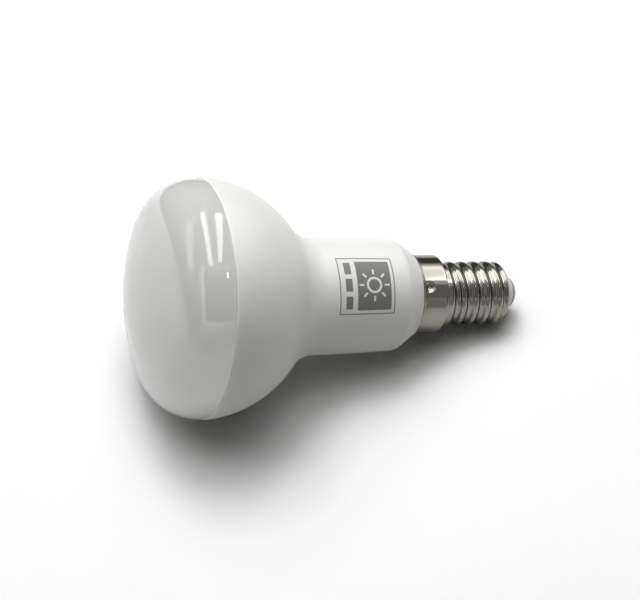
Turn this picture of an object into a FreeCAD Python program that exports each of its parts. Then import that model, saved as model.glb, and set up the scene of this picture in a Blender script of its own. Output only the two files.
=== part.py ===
"""Reflector lamp with an E14 screw cap, lying on its rim and its thread.

Every piece is drawn upright about the lamp's own axis: z is the height above the pole
of the domed diffuser and grows towards the cap. One placement then lays the whole lamp
down as it comes to rest on a table, with +X along its axis and +Z up.
"""
import FreeCAD, Part
import Sketcher
import math
import os

VALUES = [
    ("diffuser_height", 13.9, "pole of the dome to the seam"),
    ("diffuser_step", 0.14, "opal dome a hair inside the rim"),
    ("shoulder_radius", 10.6, "round shoulder between dome and seam"),
    ("shoulder_land", 0.5, "straight band of the diffuser next to the seam"),
    ("diffuser_wall", 1.6, "wall of the moulded dome"),
    ("mouth_step", 2.05, "snap skirt inside the rim"),
    ("skirt_wall", 1.3, "wall of the snap skirt"),
    ("skirt_depth", 3.8, "length of the snap skirt"),
    ("bead_height", 0.3, "snap bead on the skirt"),
    ("bead_start", 1.5, "seam to the start of the snap bead"),
    ("bead_length", 1.4, "length of the snap bead along the axis"),
    ("snap_gap", 0.1, "play between the skirt and the mouth"),
    ("rim_radius", 25.0, "largest radius of the housing, R50 size"),
    ("rim_land", 0.6, "straight lip of the rim"),
    ("rim_edge", 0.25, "rounding of the lip"),
    ("bowl_radius", 24.6, "round bowl of the housing in section"),
    ("bowl_drop", 0.9, "centre of the bowl arc before the seam"),
    ("throat_radius", 8.3, "hollow round between bowl and neck"),
    ("neck_radius", 12.37, "neck just after the throat"),
    ("neck_curve", 300.0, "slight barrel of the neck in section"),
    ("neck_length", 43.1, "seam to the end of the neck"),
    ("neck_edge", 1.4, "rounding between neck and chamfer"),
    ("end_radius", 8.96, "small end face of the housing"),
    ("end_edge", 0.35, "rounding of the small end face"),
    ("housing_length", 47.2, "seam to the small end face"),
    ("housing_wall", 1.6, "wall of the moulded housing"),
    ("spigot_length", 4.8, "spigot that carries the cap"),
    ("spigot_bore", 6.4, "bore of the spigot"),
    ("crimp_depth", 1.0, "groove in the spigot behind the crimps"),
    ("crimp_start", 0.25, "end face to the crimp groove"),
    ("crimp_length", 2.8, "width of the crimp groove"),
    ("rail_start", 26.0, "seam to the guide rails of the driver board"),
    ("rail_length", 15.0, "length of the guide rails"),
    ("rail_height", 3.4, "width over the two lips of a rail"),
    ("rail_depth", 1.3, "how far a rail grips the board"),
    ("rail_reach", 10.7, "distance of the rails' roots from the axis"),
    ("plate_start", 3.9, "seam to the heat sink's plate"),
    ("cup_wall", 1.2, "sheet of the heat sink"),
    ("cup_gap", 0.15, "play between the heat sink and the bowl"),
    ("cup_end", 15.5, "seam to the open end of the heat sink"),
    ("cup_lip", 0.1, "play of the heat sink's flange in the mouth"),
    ("wire_hole", 3.0, "radius of the hole for the LED leads"),
    ("screw_step", 3.2, "screws inside the LED board's edge"),
    ("screw_radius", 1.25, "M2.5 screw"),
    ("screw_play", 0.12, "play round the screws in the LED board"),
    ("thread_play", 0.04, "play of the screws in the heat sink"),
    ("screw_length", 5.0, "length of the screws under the head"),
    ("screw_head", 2.3, "radius of the screw heads"),
    ("head_height", 1.3, "height of the screw heads"),
    ("cross_reach", 1.4, "arms of the cross recess"),
    ("cross_width", 0.7, "width of the cross recess"),
    ("cross_depth", 0.7, "depth of the cross recess"),
    ("led_board_step", 4.05, "round aluminium-core board inside the housing's mouth"),
    ("led_board_sheet", 1.0, "thickness of the LED board"),
    ("led_ring", 11.4, "outer ring of LEDs"),
    ("led_width", 2.8, "LED package across"),
    ("led_length", 3.5, "LED package along"),
    ("led_height", 0.7, "LED package height"),
    ("led_window", 2.1, "phosphor window of an LED"),
    ("led_window_depth", 0.2, "dish of the window"),
    ("terminal_offset", 7.4, "terminal block to the axis"),
    ("terminal_length", 4.2, "terminal block along"),
    ("terminal_width", 3.0, "terminal block across"),
    ("terminal_height", 1.9, "terminal block height"),
    ("entry_radius", 0.45, "wire entries of the terminal block"),
    ("board_offset", 2.3, "driver board to the axis"),
    ("board_sheet", 1.0, "thickness of the driver board"),
    ("board_width", 19.0, "width of the driver board"),
    ("board_start", 9.5, "seam to the driver board's upper edge"),
    ("board_end", 43.6, "seam to the board's lower shoulder"),
    ("tongue_end", 51.6, "seam to the end of the board's tongue"),
    ("tongue_width", 8.6, "tongue of the board in the spigot"),
    ("board_play", 0.08, "play of the board in the rails"),
    ("solder_gap", 0.05, "parts stand this far off the board"),
    ("can_radius", 4.0, "smoothing capacitor"),
    ("can_length", 12.0, "smoothing capacitor"),
    ("can_start", 11.5, "seam to the smoothing capacitor"),
    ("can_offset", 4.6, "smoothing capacitor beside the axis"),
    ("can_edge", 0.4, "rounded rim and crimped groove of the can"),
    ("can_groove", 1.9, "groove from the can's lower end"),
    ("coil_radius", 4.1, "flanges of the inductor core"),
    ("coil_length", 9.0, "length of the inductor core"),
    ("coil_waist", 2.0, "waist of the inductor core"),
    ("coil_flange", 1.1, "flange of the inductor core"),
    ("coil_start", 13.5, "seam to the inductor"),
    ("coil_offset", 4.7, "inductor beside the axis"),
    ("winding_gap", 0.1, "winding to the core's flanges"),
    ("winding_radius", 3.5, "radius of the winding"),
    ("film_length", 7.2, "input capacitor along the axis"),
    ("film_width", 4.5, "input capacitor across"),
    ("film_height", 7.0, "input capacitor above the board"),
    ("film_edge", 1.0, "rounding of the input capacitor"),
    ("film_start", 26.5, "seam to the input capacitor"),
    ("film_offset", 3.6, "input capacitor beside the axis"),
    ("fuse_radius", 1.6, "fusible resistor"),
    ("fuse_length", 9.0, "fusible resistor"),
    ("fuse_cap", 1.8, "caps of the fusible resistor"),
    ("fuse_waist", 1.35, "fusible resistor between its caps"),
    ("fuse_start", 37.0, "seam to the fusible resistor"),
    ("disc_radius", 3.4, "varistor disc"),
    ("disc_sheet", 3.0, "varistor thickness"),
    ("disc_edge", 0.9, "rounding of the varistor"),
    ("disc_start", 29.5, "seam to the varistor's centre"),
    ("disc_offset", 3.5, "varistor beside the axis"),
    ("bridge_width", 4.0, "bridge rectifier across"),
    ("bridge_length", 4.8, "bridge rectifier along"),
    ("bridge_height", 2.4, "bridge rectifier height"),
    ("bridge_start", 33.0, "seam to the bridge rectifier"),
    ("chip_width", 3.9, "driver chip across"),
    ("chip_length", 4.9, "driver chip along"),
    ("chip_height", 1.5, "driver chip height"),
    ("chip_start", 18.0, "seam to the driver chip"),
    ("leg_width", 0.45, "legs of the chips"),
    ("leg_reach", 1.0, "legs of the chips beyond the body"),
    ("leg_sheet", 0.2, "thickness of the legs"),
    ("resistor_width", 1.3, "chip resistor across"),
    ("resistor_length", 2.0, "chip resistor along"),
    ("resistor_height", 0.55, "chip resistor height"),
    ("resistor_row", 6.2, "rows of chip resistors to the axis"),
    ("resistor_step", 4.4, "spacing of the chip resistors"),
    ("resistor_start", 15.0, "seam to the first chip resistor"),
    ("wire_radius", 0.65, "insulated leads"),
    ("wire_bend", 1.3, "bends of the leads"),
    ("lead_overlap", 4.0, "soldered length of the LED leads on the board"),
    ("lead_spread", 1.3, "LED leads apart, as a share of their radius"),
    ("lead_rise", 1.6, "LED leads above the terminal before they turn down"),
    ("neutral_rise", 1.0, "neutral lead past the spigot"),
    ("neutral_reach", 6.4, "neutral lead's solder point to the axis"),
    ("cap_radius", 8.41, "collar of the cap, E14 with a 17 mm skirt"),
    ("cap_sheet", 0.3, "sheet of the cap"),
    ("cap_gap", 0.06, "play between cap and spigot"),
    ("seat_gap", 0.05, "play between the cap's lip and the end face"),
    ("lip_radius", 8.82, "flared lip of the cap"),
    ("lip_land", 0.3, "straight part of the lip"),
    ("lip_bend", 0.45, "hollow round under the lip"),
    ("collar_length", 5.4, "end face to the collar's shoulder"),
    ("collar_bend", 2.4, "round shoulder of the collar"),
    ("root_bend", 0.45, "hollow round between shoulder and thread"),
    ("root_out", 0.4, "how far that round stands out"),
    ("root_up", 0.36, "how far that round runs along the axis"),
    ("thread_root", 6.15, "groove radius of the E14 thread"),
    ("thread_crest", 6.87, "crest radius of the E14 thread"),
    ("thread_pitch", 2.822, "pitch of the E14 thread, nine to the inch"),
    ("thread_flat", 0.1, "straight ground between two turns"),
    ("thread_phase", 2.252, "height of a crest at the start, past a whole pitch"),
    ("thread_first", 18.0, "whole pitches below the first turn"),
    ("thread_reach", 15.6, "length of the rolled helix before its ends are trimmed"),
    ("thread_end", 66.7, "seam to the end of the full thread"),
    ("shell_bend", 2.4, "curl at the end of the shell"),
    ("shell_mouth", 4.6, "outer edge of the curled end"),
    ("inner_stop", 2.9, "inner helix stops this far short of the curl"),
    ("punch_radius", 1.5, "round punch of the crimps"),
    ("punch_depth", 0.55, "depth of the crimps"),
    ("punch_height", 48.8, "seam to the crimps"),
    ("insulator_gap", 0.1, "play of the insulator in the shell"),
    ("insulator_foot", 65.7, "seam to the insulator's foot"),
    ("insulator_radius", 5.6, "insulator inside the shell"),
    ("insulator_nose", 70.75, "seam to the insulator's nose"),
    ("nose_bend", 4.1, "round nose of the insulator"),
    ("pin_radius", 0.9, "stem of the contact"),
    ("pin_length", 4.6, "stem of the contact"),
    ("pin_gap", 0.06, "play of the stem in the insulator"),
    ("contact_radius", 3.3, "head of the contact"),
    ("contact_edge", 0.1, "straight edge of the head"),
    ("contact_height", 1.55, "dome of the head"),
]
LED_COUNT = 12
INNER_LED_COUNT = 4
SCREW_COUNT = 3
CRIMP_COUNT = 4
CHIP_COUNT = 8
PUNCH_TURN = -148.5
SCREW_TURN = 30.0
CLOSE = 1e-4
SHEET_NAME = "Sizes"


class Size:
    """A length that carries its formula, so that one sum gives a number and an expression."""

    def __init__(self, value, text):
        self.value = value
        self.text = text

    def __add__(self, other):
        return joined(self, other, "+", self.value + plain(other))

    def __radd__(self, other):
        return joined(other, self, "+", plain(other) + self.value)

    def __sub__(self, other):
        return joined(self, other, "-", self.value - plain(other))

    def __rsub__(self, other):
        return joined(other, self, "-", plain(other) - self.value)

    def __mul__(self, other):
        return joined(self, other, "*", self.value * plain(other))

    def __rmul__(self, other):
        return joined(other, self, "*", plain(other) * self.value)

    def __truediv__(self, other):
        return joined(self, other, "/", self.value / plain(other))

    def __rtruediv__(self, other):
        return joined(other, self, "/", plain(other) / self.value)

    def __neg__(self):
        return Size(-self.value, "(-" + self.text + ")")


def plain(number):
    return number.value if isinstance(number, Size) else float(number)


def formula(number):
    return number.text if isinstance(number, Size) else repr(float(number))


def joined(first, second, sign, value):
    return Size(value, "(" + formula(first) + " " + sign + " " + formula(second) + ")")


def root(size):
    return Size(math.sqrt(size.value), "sqrt(" + size.text + ")")


def arc_radius(centre_r, radius, height):
    """Distance from the axis of an arc of this radius, at a height above its centre."""
    return centre_r + root(radius * radius - height * height)


class Sheet:
    """The driving sizes as attributes, each bound to its own cell."""


doc = FreeCAD.newDocument("ReflectorLamp")
cells = doc.addObject("Spreadsheet::Sheet", SHEET_NAME)
d = Sheet()
for row, (alias, number, meaning) in enumerate(VALUES, start=1):
    cells.set("A%d" % row, alias)
    cells.set("B%d" % row, "%r" % number)
    cells.setAlias("B%d" % row, alias)
    cells.set("C%d" % row, meaning)
    setattr(d, alias, Size(number, SHEET_NAME + "." + alias))
doc.recompute()

seam = d.diffuser_height
pieces = []


def bind(thing, **sizes):
    """Binds properties to expressions; a double underscore stands for the dot of a sub-property."""
    for name, size in sizes.items():
        thing.setExpression(name.replace("__", "."), formula(size))


def piece(label, thing, place=(0, 0, 0), turn=FreeCAD.Rotation()):
    """Registers a finished piece with its place about the lamp's own axis."""
    thing.Label = label
    where = FreeCAD.Vector(*[plain(value) for value in place])
    pieces.append((thing, FreeCAD.Placement(where, turn)))


def origin_plane(body, role):
    return [item for item in body.Origin.OriginFeatures if item.Role == role][0]


def put(sketch, axis, geometry, point, size):
    """Fixes one coordinate of a point: on the axis when it is nought, at a bound distance else."""
    if isinstance(size, Size):
        kind = "DistanceX" if axis == "x" else "DistanceY"
        number = sketch.addConstraint(Sketcher.Constraint(kind, -1, 1, geometry, point, size.value))
        sketch.setExpression("Constraints[%d]" % number, size.text)
    else:
        line = -2 if axis == "x" else -1
        sketch.addConstraint(Sketcher.Constraint("PointOnObject", geometry, point, line))


def corner_arc(start, end, bend):
    """Minor arc between two corners: a positive bend turns left along the outline, a negative right."""
    radius = abs(plain(bend))
    chord = end - start
    rise = math.sqrt(max(radius * radius - chord.Length * chord.Length / 4.0, 0.0))
    left = FreeCAD.Vector(-chord.y, chord.x, 0).normalize()
    side = 1.0 if plain(bend) > 0 else -1.0
    centre = (start + end) * 0.5 + left * (side * rise)
    first, last = (start, end) if side > 0 else (end, start)
    begin = math.atan2(first.y - centre.y, first.x - centre.x)
    finish = math.atan2(last.y - centre.y, last.x - centre.x)
    return Part.ArcOfCircle(Part.Circle(centre, FreeCAD.Vector(0, 0, 1), radius), begin, finish)


def draw(sketch, corners):
    """Closed outline through corners (x, y) or (x, y, bend): with a bend, the next edge is an arc."""
    points = [FreeCAD.Vector(plain(corner[0]), plain(corner[1]), 0) for corner in corners]
    ends = []
    for index, corner in enumerate(corners):
        start = points[index]
        end = points[(index + 1) % len(points)]
        if len(corner) == 3:
            bend = corner[2]
            edge = sketch.addGeometry(corner_arc(start, end, bend), False)
            ends.append((edge, 1, 2) if plain(bend) > 0 else (edge, 2, 1))
            number = sketch.addConstraint(Sketcher.Constraint("Radius", edge, abs(plain(bend))))
            sketch.setExpression("Constraints[%d]" % number, "abs(" + formula(bend) + ")")
        else:
            ends.append((sketch.addGeometry(Part.LineSegment(start, end), False), 1, 2))
    for index, corner in enumerate(corners):
        edge, first = ends[index][:2]
        before, last = ends[index - 1][::2]
        sketch.addConstraint(Sketcher.Constraint("Coincident", before, last, edge, first))
        put(sketch, "x", edge, first, corner[0])
        put(sketch, "y", edge, first, corner[1])


def sketch_on(body, name, role, outlines, lift=None):
    sketch = body.newObject("Sketcher::SketchObject", name)
    sketch.AttachmentSupport = [(origin_plane(body, role), "")]
    sketch.MapMode = "FlatFace"
    if lift is not None:
        bind(sketch, AttachmentOffset__Base__z=lift)
    for corners in outlines:
        draw(sketch, corners)
    return sketch


def revolved(body, kind, name, corners):
    """A Revolution or Groove of an outline given as (distance from the axis, height)."""
    sketch = sketch_on(body, name + "_outline", "XZ_Plane", [corners])
    feature = body.newObject("PartDesign::" + kind, name)
    feature.Profile = sketch
    feature.ReferenceAxis = (sketch, ["V_Axis"])
    feature.Angle = 360
    return feature


def turned(label, corners):
    body = doc.addObject("PartDesign::Body", label)
    revolved(body, "Revolution", label + "_turned", corners)
    return body


def padded(body, name, role, outlines, length, lift=None):
    sketch = sketch_on(body, name + "_outline", role, outlines, lift)
    feature = body.newObject("PartDesign::Pad", name)
    feature.Profile = sketch
    bind(feature, Length=length)
    return feature


def edges_at(feature, radius, height):
    """Names of the round edges of a feature at a distance from the axis and a height."""
    names = []
    for number, edge in enumerate(feature.Shape.Edges, start=1):
        curve = edge.Curve
        if isinstance(curve, Part.Circle) and abs(curve.Radius - radius.value) < CLOSE:
            if abs(curve.Center.z - height.value) < CLOSE:
                names.append("Edge%d" % number)
    return names


def rounded(body, name, base, radius, height, size):
    doc.recompute()
    fillet = body.newObject("PartDesign::Fillet", name)
    fillet.Base = (base, edges_at(base, radius, height))
    bind(fillet, Radius=size)
    return fillet


def box(name, low, length):
    """Box with its low corner and its lengths along x, y and z."""
    thing = doc.addObject("Part::Box", name)
    bind(thing, Length=length[0], Width=length[1], Height=length[2])
    bind(thing, Placement__Base__x=low[0], Placement__Base__y=low[1], Placement__Base__z=low[2])
    return thing


def rod(name, radius, length, low):
    """Upright cylinder from the centre of its low end."""
    thing = doc.addObject("Part::Cylinder", name)
    bind(thing, Radius=radius, Height=length)
    bind(thing, Placement__Base__x=low[0], Placement__Base__y=low[1], Placement__Base__z=low[2])
    return thing


def ring_of(name, thing, count, start=0.0):
    """Copies of a thing spaced evenly round the lamp's axis."""
    copies = []
    for step in range(count):
        copy = doc.addObject("Part::Compound", "%s_%d" % (name, step))
        copy.Links = [thing]
        turn = FreeCAD.Rotation(FreeCAD.Vector(0, 0, 1), start + 360.0 * step / count)
        copy.Placement = FreeCAD.Placement(FreeCAD.Vector(), turn)
        copies.append(copy)
    return copies


def group(name, kind, things):
    thing = doc.addObject("Part::" + kind, name)
    if kind == "Compound":
        thing.Links = things
    else:
        thing.Shapes = things
    return thing


def cut(name, base, tool):
    thing = doc.addObject("Part::Cut", name)
    thing.Base = base
    thing.Tool = tool
    return thing


# The optics and the housing

diffuser_radius = d.rim_radius - d.diffuser_step
skirt_radius = d.rim_radius - d.mouth_step
mouth_radius = skirt_radius + d.snap_gap
led_board_radius = mouth_radius - d.led_board_step
screw_ring = led_board_radius - d.screw_step
crown_offset = diffuser_radius - d.shoulder_radius
shoulder_z = seam - d.shoulder_land
crown_radius = (crown_offset * crown_offset + shoulder_z * shoulder_z
                - d.shoulder_radius * d.shoulder_radius) / (2 * (shoulder_z - d.shoulder_radius))
crown_share = 1 / (crown_radius - d.shoulder_radius)


def crown_point(radius):
    """Point where the crown arc of this radius, about the crown's centre, meets the shoulder arc."""
    share = radius * crown_share
    return crown_offset * share, crown_radius - (crown_radius - shoulder_z) * share


def make_diffuser():
    outer = crown_point(crown_radius)
    inner_crown = crown_radius - d.diffuser_wall
    inner = crown_point(inner_crown)
    inner_edge = diffuser_radius - d.diffuser_wall
    inner_skirt = skirt_radius - d.skirt_wall
    bead = seam + d.bead_start
    bead_step = d.bead_length / 3
    body = turned("diffuser", [
        (0, 0, crown_radius),
        (outer[0], outer[1], d.shoulder_radius),
        (diffuser_radius, shoulder_z),
        (diffuser_radius, seam),
        (skirt_radius, seam),
        (skirt_radius, bead),
        (skirt_radius + d.bead_height, bead + bead_step),
        (skirt_radius + d.bead_height, bead + 2 * bead_step),
        (skirt_radius, bead + d.bead_length),
        (skirt_radius, seam + d.skirt_depth),
        (inner_skirt, seam + d.skirt_depth),
        (inner_skirt, seam + d.shoulder_land),
        (inner_edge, shoulder_z, -(d.shoulder_radius - d.diffuser_wall)),
        (inner[0], inner[1], -inner_crown),
        (0, d.diffuser_wall),
    ])
    piece("diffuser", body)


bowl_z = seam - d.bowl_drop
land_end = seam + d.rim_land
bowl_offset = d.rim_radius - root(d.bowl_radius * d.bowl_radius - (land_end - bowl_z) * (land_end - bowl_z))
throat_offset = d.neck_radius + d.throat_radius
throat_span = d.bowl_radius + d.throat_radius
throat_step = throat_offset - bowl_offset
throat_z = bowl_z + root(throat_span * throat_span - throat_step * throat_step)
neck_end = seam + d.neck_length
housing_end = seam + d.housing_length


def bowl_radius_at(radius, height):
    """Distance from the axis of an arc about the bowl's centre."""
    return arc_radius(bowl_offset, radius, height - bowl_z)


def throat_point(radius):
    """Point where a bowl arc of this radius passes into its throat arc."""
    share = radius / throat_span
    return bowl_offset + throat_step * share, bowl_z + (throat_z - bowl_z) * share


def neck_at(start, radius):
    """Distance of the neck from the axis at its end, for an arc that starts at the throat."""
    drop = neck_end - throat_z
    return start - radius + root(radius * radius - drop * drop)


neck_end_radius = neck_at(d.neck_radius, d.neck_curve)
plate_z = seam + d.plate_start
ledge_z = plate_z + d.cup_wall
board_face = -d.board_offset


def make_housing():
    spigot_radius = d.cap_radius - d.cap_sheet - d.cap_gap
    spigot_end = housing_end + d.spigot_length
    crimp = housing_end + d.crimp_start
    join = throat_point(d.bowl_radius)
    body = doc.addObject("PartDesign::Body", "housing")
    outside = revolved(body, "Revolution", "outside", [
        (0, seam),
        (d.rim_radius, seam),
        (d.rim_radius, land_end, d.bowl_radius),
        (join[0], join[1], -d.throat_radius),
        (d.neck_radius, throat_z, d.neck_curve),
        (neck_end_radius, neck_end),
        (d.end_radius, housing_end),
        (spigot_radius, housing_end),
        (spigot_radius, crimp),
        (spigot_radius - d.crimp_depth, crimp),
        (spigot_radius - d.crimp_depth, crimp + d.crimp_length),
        (spigot_radius, crimp + d.crimp_length),
        (spigot_radius, spigot_end),
        (0, spigot_end),
    ])
    neck_round = rounded(body, "neck_round", outside, neck_end_radius, neck_end, d.neck_edge)
    end_round = rounded(body, "end_round", neck_round, d.end_radius, housing_end, d.end_edge)
    rounded(body, "rim_round", end_round, d.rim_radius, seam, d.rim_edge)
    inner_bowl = d.bowl_radius - d.housing_wall
    inner_join = throat_point(inner_bowl)
    inner_neck = d.neck_curve - d.housing_wall
    bead = seam + d.bead_start - d.snap_gap
    groove = mouth_radius + d.bead_height
    bead_step = d.bead_length / 3
    revolved(body, "Groove", "cavity", [
        (0, seam),
        (mouth_radius, seam),
        (mouth_radius, bead),
        (groove, bead + bead_step),
        (groove, bead + 2 * bead_step + 2 * d.snap_gap),
        (mouth_radius, bead + d.bead_length + 2 * d.snap_gap),
        (mouth_radius, ledge_z),
        (bowl_radius_at(inner_bowl, ledge_z), ledge_z, inner_bowl),
        (inner_join[0], inner_join[1], -(d.throat_radius + d.housing_wall)),
        (d.neck_radius - d.housing_wall, throat_z, inner_neck),
        (neck_end_radius - d.housing_wall, neck_end - d.housing_wall / 2),
        (d.spigot_bore, housing_end - d.housing_wall / 2),
        (d.spigot_bore, spigot_end),
        (0, spigot_end),
    ])
    rail_foot = d.rail_reach
    slot_bottom = d.board_width / 2 + d.board_play
    rail_tip = d.board_width / 2 - d.rail_depth
    board_middle = board_face - d.board_sheet / 2
    upper = board_middle + d.rail_height / 2
    lower = board_middle - d.rail_height / 2
    slot_top = board_face + d.board_play
    slot_low = board_face - d.board_sheet - d.board_play
    rails = []
    for side in (1, -1):
        rail = [
            (upper, side * rail_foot),
            (upper, side * rail_tip),
            (slot_top, side * rail_tip),
            (slot_top, side * slot_bottom),
            (slot_low, side * slot_bottom),
            (slot_low, side * rail_tip),
            (lower, side * rail_tip),
            (lower, side * rail_foot),
        ]
        rails.append(rail)
    padded(body, "rails", "XY_Plane", rails, d.rail_length, seam + d.rail_start)
    piece("housing", body)


# The heat sink and the LED board

def holes(body, name, radius, distance, bottom, height, count):
    """Round through holes on a ring, as a pocket and its polar pattern."""
    sketch = body.newObject("Sketcher::SketchObject", name + "_outline")
    sketch.AttachmentSupport = [(origin_plane(body, "XY_Plane"), "")]
    sketch.MapMode = "FlatFace"
    bind(sketch, AttachmentOffset__Base__z=bottom)
    turn = math.radians(SCREW_TURN)
    centre = FreeCAD.Vector(distance.value * math.cos(turn), distance.value * math.sin(turn), 0)
    ring = sketch.addGeometry(Part.Circle(centre, FreeCAD.Vector(0, 0, 1), radius.value), False)
    limits = (
        ("DistanceX", distance * math.cos(turn)),
        ("DistanceY", distance * math.sin(turn)),
    )
    for kind, size in limits:
        number = sketch.addConstraint(Sketcher.Constraint(kind, -1, 1, ring, 3, size.value))
        sketch.setExpression("Constraints[%d]" % number, size.text)
    number = sketch.addConstraint(Sketcher.Constraint("Radius", ring, radius.value))
    sketch.setExpression("Constraints[%d]" % number, radius.text)
    pocket = body.newObject("PartDesign::Pocket", name)
    pocket.Profile = sketch
    pocket.Reversed = True
    bind(pocket, Length=height)
    pattern = body.newObject("PartDesign::PolarPattern", name + "_ring")
    pattern.Originals = [pocket]
    pattern.Axis = (sketch, ["N_Axis"])
    pattern.Angle = 360
    pattern.Occurrences = count
    body.Tip = pattern
    return pattern


def make_heat_sink():
    outer = d.bowl_radius - d.housing_wall - d.cup_gap
    inner = outer - d.cup_wall
    flange = mouth_radius - d.cup_lip
    end = seam + d.cup_end
    body = turned("heat_sink_cup", [
        (d.wire_hole, plate_z),
        (flange, plate_z),
        (flange, ledge_z),
        (bowl_radius_at(outer, ledge_z), ledge_z, outer),
        (bowl_radius_at(outer, end), end),
        (bowl_radius_at(inner, end), end, -inner),
        (bowl_radius_at(inner, ledge_z), ledge_z),
        (d.wire_hole, ledge_z),
    ])
    tap = d.screw_radius + d.thread_play
    holes(body, "taps", tap, screw_ring, plate_z, d.cup_wall, SCREW_COUNT)
    piece("heat_sink_cup", body)


def make_led_board():
    body = turned("led_board", [
        (d.wire_hole, plate_z - d.led_board_sheet),
        (led_board_radius, plate_z - d.led_board_sheet),
        (led_board_radius, plate_z),
        (d.wire_hole, plate_z),
    ])
    hole = d.screw_radius + d.screw_play
    low = plate_z - d.led_board_sheet
    holes(body, "screw_holes", hole, screw_ring, low, d.led_board_sheet, SCREW_COUNT)
    piece("led_board", body)


def make_leds():
    top = plate_z - d.led_board_sheet
    rings = ((LED_COUNT, d.led_ring), (INNER_LED_COUNT, d.led_ring / 2))
    copies = []
    for count, distance in rings:
        name = "led_%d" % count
        low = (distance - d.led_width / 2, -d.led_length / 2, top - d.led_height)
        package = box(name + "_package", low, (d.led_width, d.led_length, d.led_height))
        window_low = (distance - d.led_window / 2, -d.led_window / 2, top - d.led_height)
        window = box(name + "_window", window_low, (d.led_window, d.led_window, d.led_window_depth))
        led = cut(name, package, window)
        copies += ring_of(name + "_turn", led, count, 180.0 / count)
    piece("led_chips", group("led_chips", "Compound", copies))


def make_screws():
    seat = plate_z - d.led_board_sheet
    head = rod("screw_head", d.screw_head, d.head_height, (screw_ring, 0, seat - d.head_height))
    shank = rod("screw_shank", d.screw_radius, d.screw_length, (screw_ring, 0, seat))
    screw = group("screw_blank", "MultiFuse", [head, shank])
    recess_z = seat - d.head_height
    half = d.cross_width / 2
    reach = d.cross_reach
    low = (screw_ring - reach, -half, recess_z)
    along = box("cross_along", low, (2 * reach, d.cross_width, d.cross_depth))
    low = (screw_ring - half, -reach, recess_z)
    across = box("cross_across", low, (d.cross_width, 2 * reach, d.cross_depth))
    cross = group("cross_recess", "MultiFuse", [along, across])
    one = cut("board_screw", screw, cross)
    screws = ring_of("screw_turn", one, SCREW_COUNT, SCREW_TURN)
    piece("board_screws", group("board_screws", "Compound", screws))


def make_terminal():
    top = plate_z - d.led_board_sheet
    low = (d.terminal_offset - d.terminal_width / 2, -d.terminal_length / 2, top - d.terminal_height)
    block = box("terminal_block", low, (d.terminal_width, d.terminal_length, d.terminal_height))
    entries = []
    for side in (-1, 1):
        centre = (d.terminal_offset, side * d.terminal_length / 4, low[2])
        entries.append(rod("terminal_entry_%d" % (side + 1), d.entry_radius, d.terminal_height, centre))
    piece("led_terminal", cut("led_terminal", block, group("terminal_entries", "Compound", entries)))


# The driver

top_face = board_face + d.solder_gap
low_face = board_face - d.board_sheet - d.solder_gap


def make_driver_board():
    half = d.board_width / 2
    tongue = d.tongue_width / 2
    start = seam + d.board_start
    shoulder = seam + d.board_end
    tip = seam + d.tongue_end
    body = doc.addObject("PartDesign::Body", "driver_board")
    slope = half - d.tongue_width / 2
    outline = [
        (half, start),
        (half, shoulder - slope),
        (tongue, shoulder),
        (tongue, tip),
        (-tongue, tip),
        (-tongue, shoulder),
        (-half, shoulder - slope),
        (-half, start),
    ]
    sketch = sketch_on(body, "board_outline", "YZ_Plane", [outline], board_face - d.board_sheet)
    pad = body.newObject("PartDesign::Pad", "board_sheet")
    pad.Profile = sketch
    bind(pad, Length=d.board_sheet)
    piece("driver_board", body)


def make_capacitor():
    """Aluminium can with its crimped groove, lying along the board."""
    groove = d.can_length - d.can_groove
    body = turned("smoothing_capacitor", [
        (0, 0),
        (d.can_radius - d.can_edge, 0),
        (d.can_radius, d.can_edge),
        (d.can_radius, groove - d.can_edge),
        (d.can_radius - d.can_edge, groove),
        (d.can_radius, groove + d.can_edge),
        (d.can_radius, d.can_length - d.can_edge),
        (d.can_radius - d.can_edge, d.can_length),
        (0, d.can_length),
    ])
    piece("smoothing_capacitor", body, (top_face + d.can_radius, -d.can_offset, seam + d.can_start))


def make_inductor():
    place = (top_face + d.coil_radius, d.coil_offset, seam + d.coil_start)
    core = turned("inductor_core", [
        (0, 0),
        (d.coil_radius, 0),
        (d.coil_radius, d.coil_flange),
        (d.coil_waist, d.coil_flange),
        (d.coil_waist, d.coil_length - d.coil_flange),
        (d.coil_radius, d.coil_length - d.coil_flange),
        (d.coil_radius, d.coil_length),
        (0, d.coil_length),
    ])
    piece("inductor_core", core, place)
    low = d.coil_flange + d.winding_gap
    high = d.coil_length - low
    winding = turned("inductor_winding", [
        (d.coil_waist + d.winding_gap, low),
        (d.winding_radius, low),
        (d.winding_radius, high),
        (d.coil_waist + d.winding_gap, high),
    ])
    piece("inductor_winding", winding, place)


def make_input_capacitor():
    """Box capacitor dipped in resin, with rounded long edges."""
    body = doc.addObject("PartDesign::Body", "input_capacitor")
    half = d.film_width / 2
    corner = d.film_edge
    outline = [
        (half, 0),
        (half, d.film_height - corner, corner),
        (half - corner, d.film_height),
        (corner - half, d.film_height, corner),
        (-half, d.film_height - corner),
        (-half, 0),
    ]
    padded(body, "film_case", "XY_Plane", [outline], d.film_length)
    turn = FreeCAD.Rotation(FreeCAD.Vector(0, 0, 1), -90)
    piece("input_capacitor", body, (top_face, d.film_offset, seam + d.film_start), turn)


def make_varistor():
    body = turned("varistor", [
        (0, 0),
        (d.disc_radius - d.disc_edge, 0, d.disc_edge),
        (d.disc_radius, d.disc_edge),
        (d.disc_radius, d.disc_sheet - d.disc_edge, d.disc_edge),
        (d.disc_radius - d.disc_edge, d.disc_sheet),
        (0, d.disc_sheet),
    ])
    turn = FreeCAD.Rotation(FreeCAD.Vector(1, 0, 0), 90)
    piece("varistor", body, (top_face + d.disc_radius, -d.disc_offset, seam + d.disc_start), turn)


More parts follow.
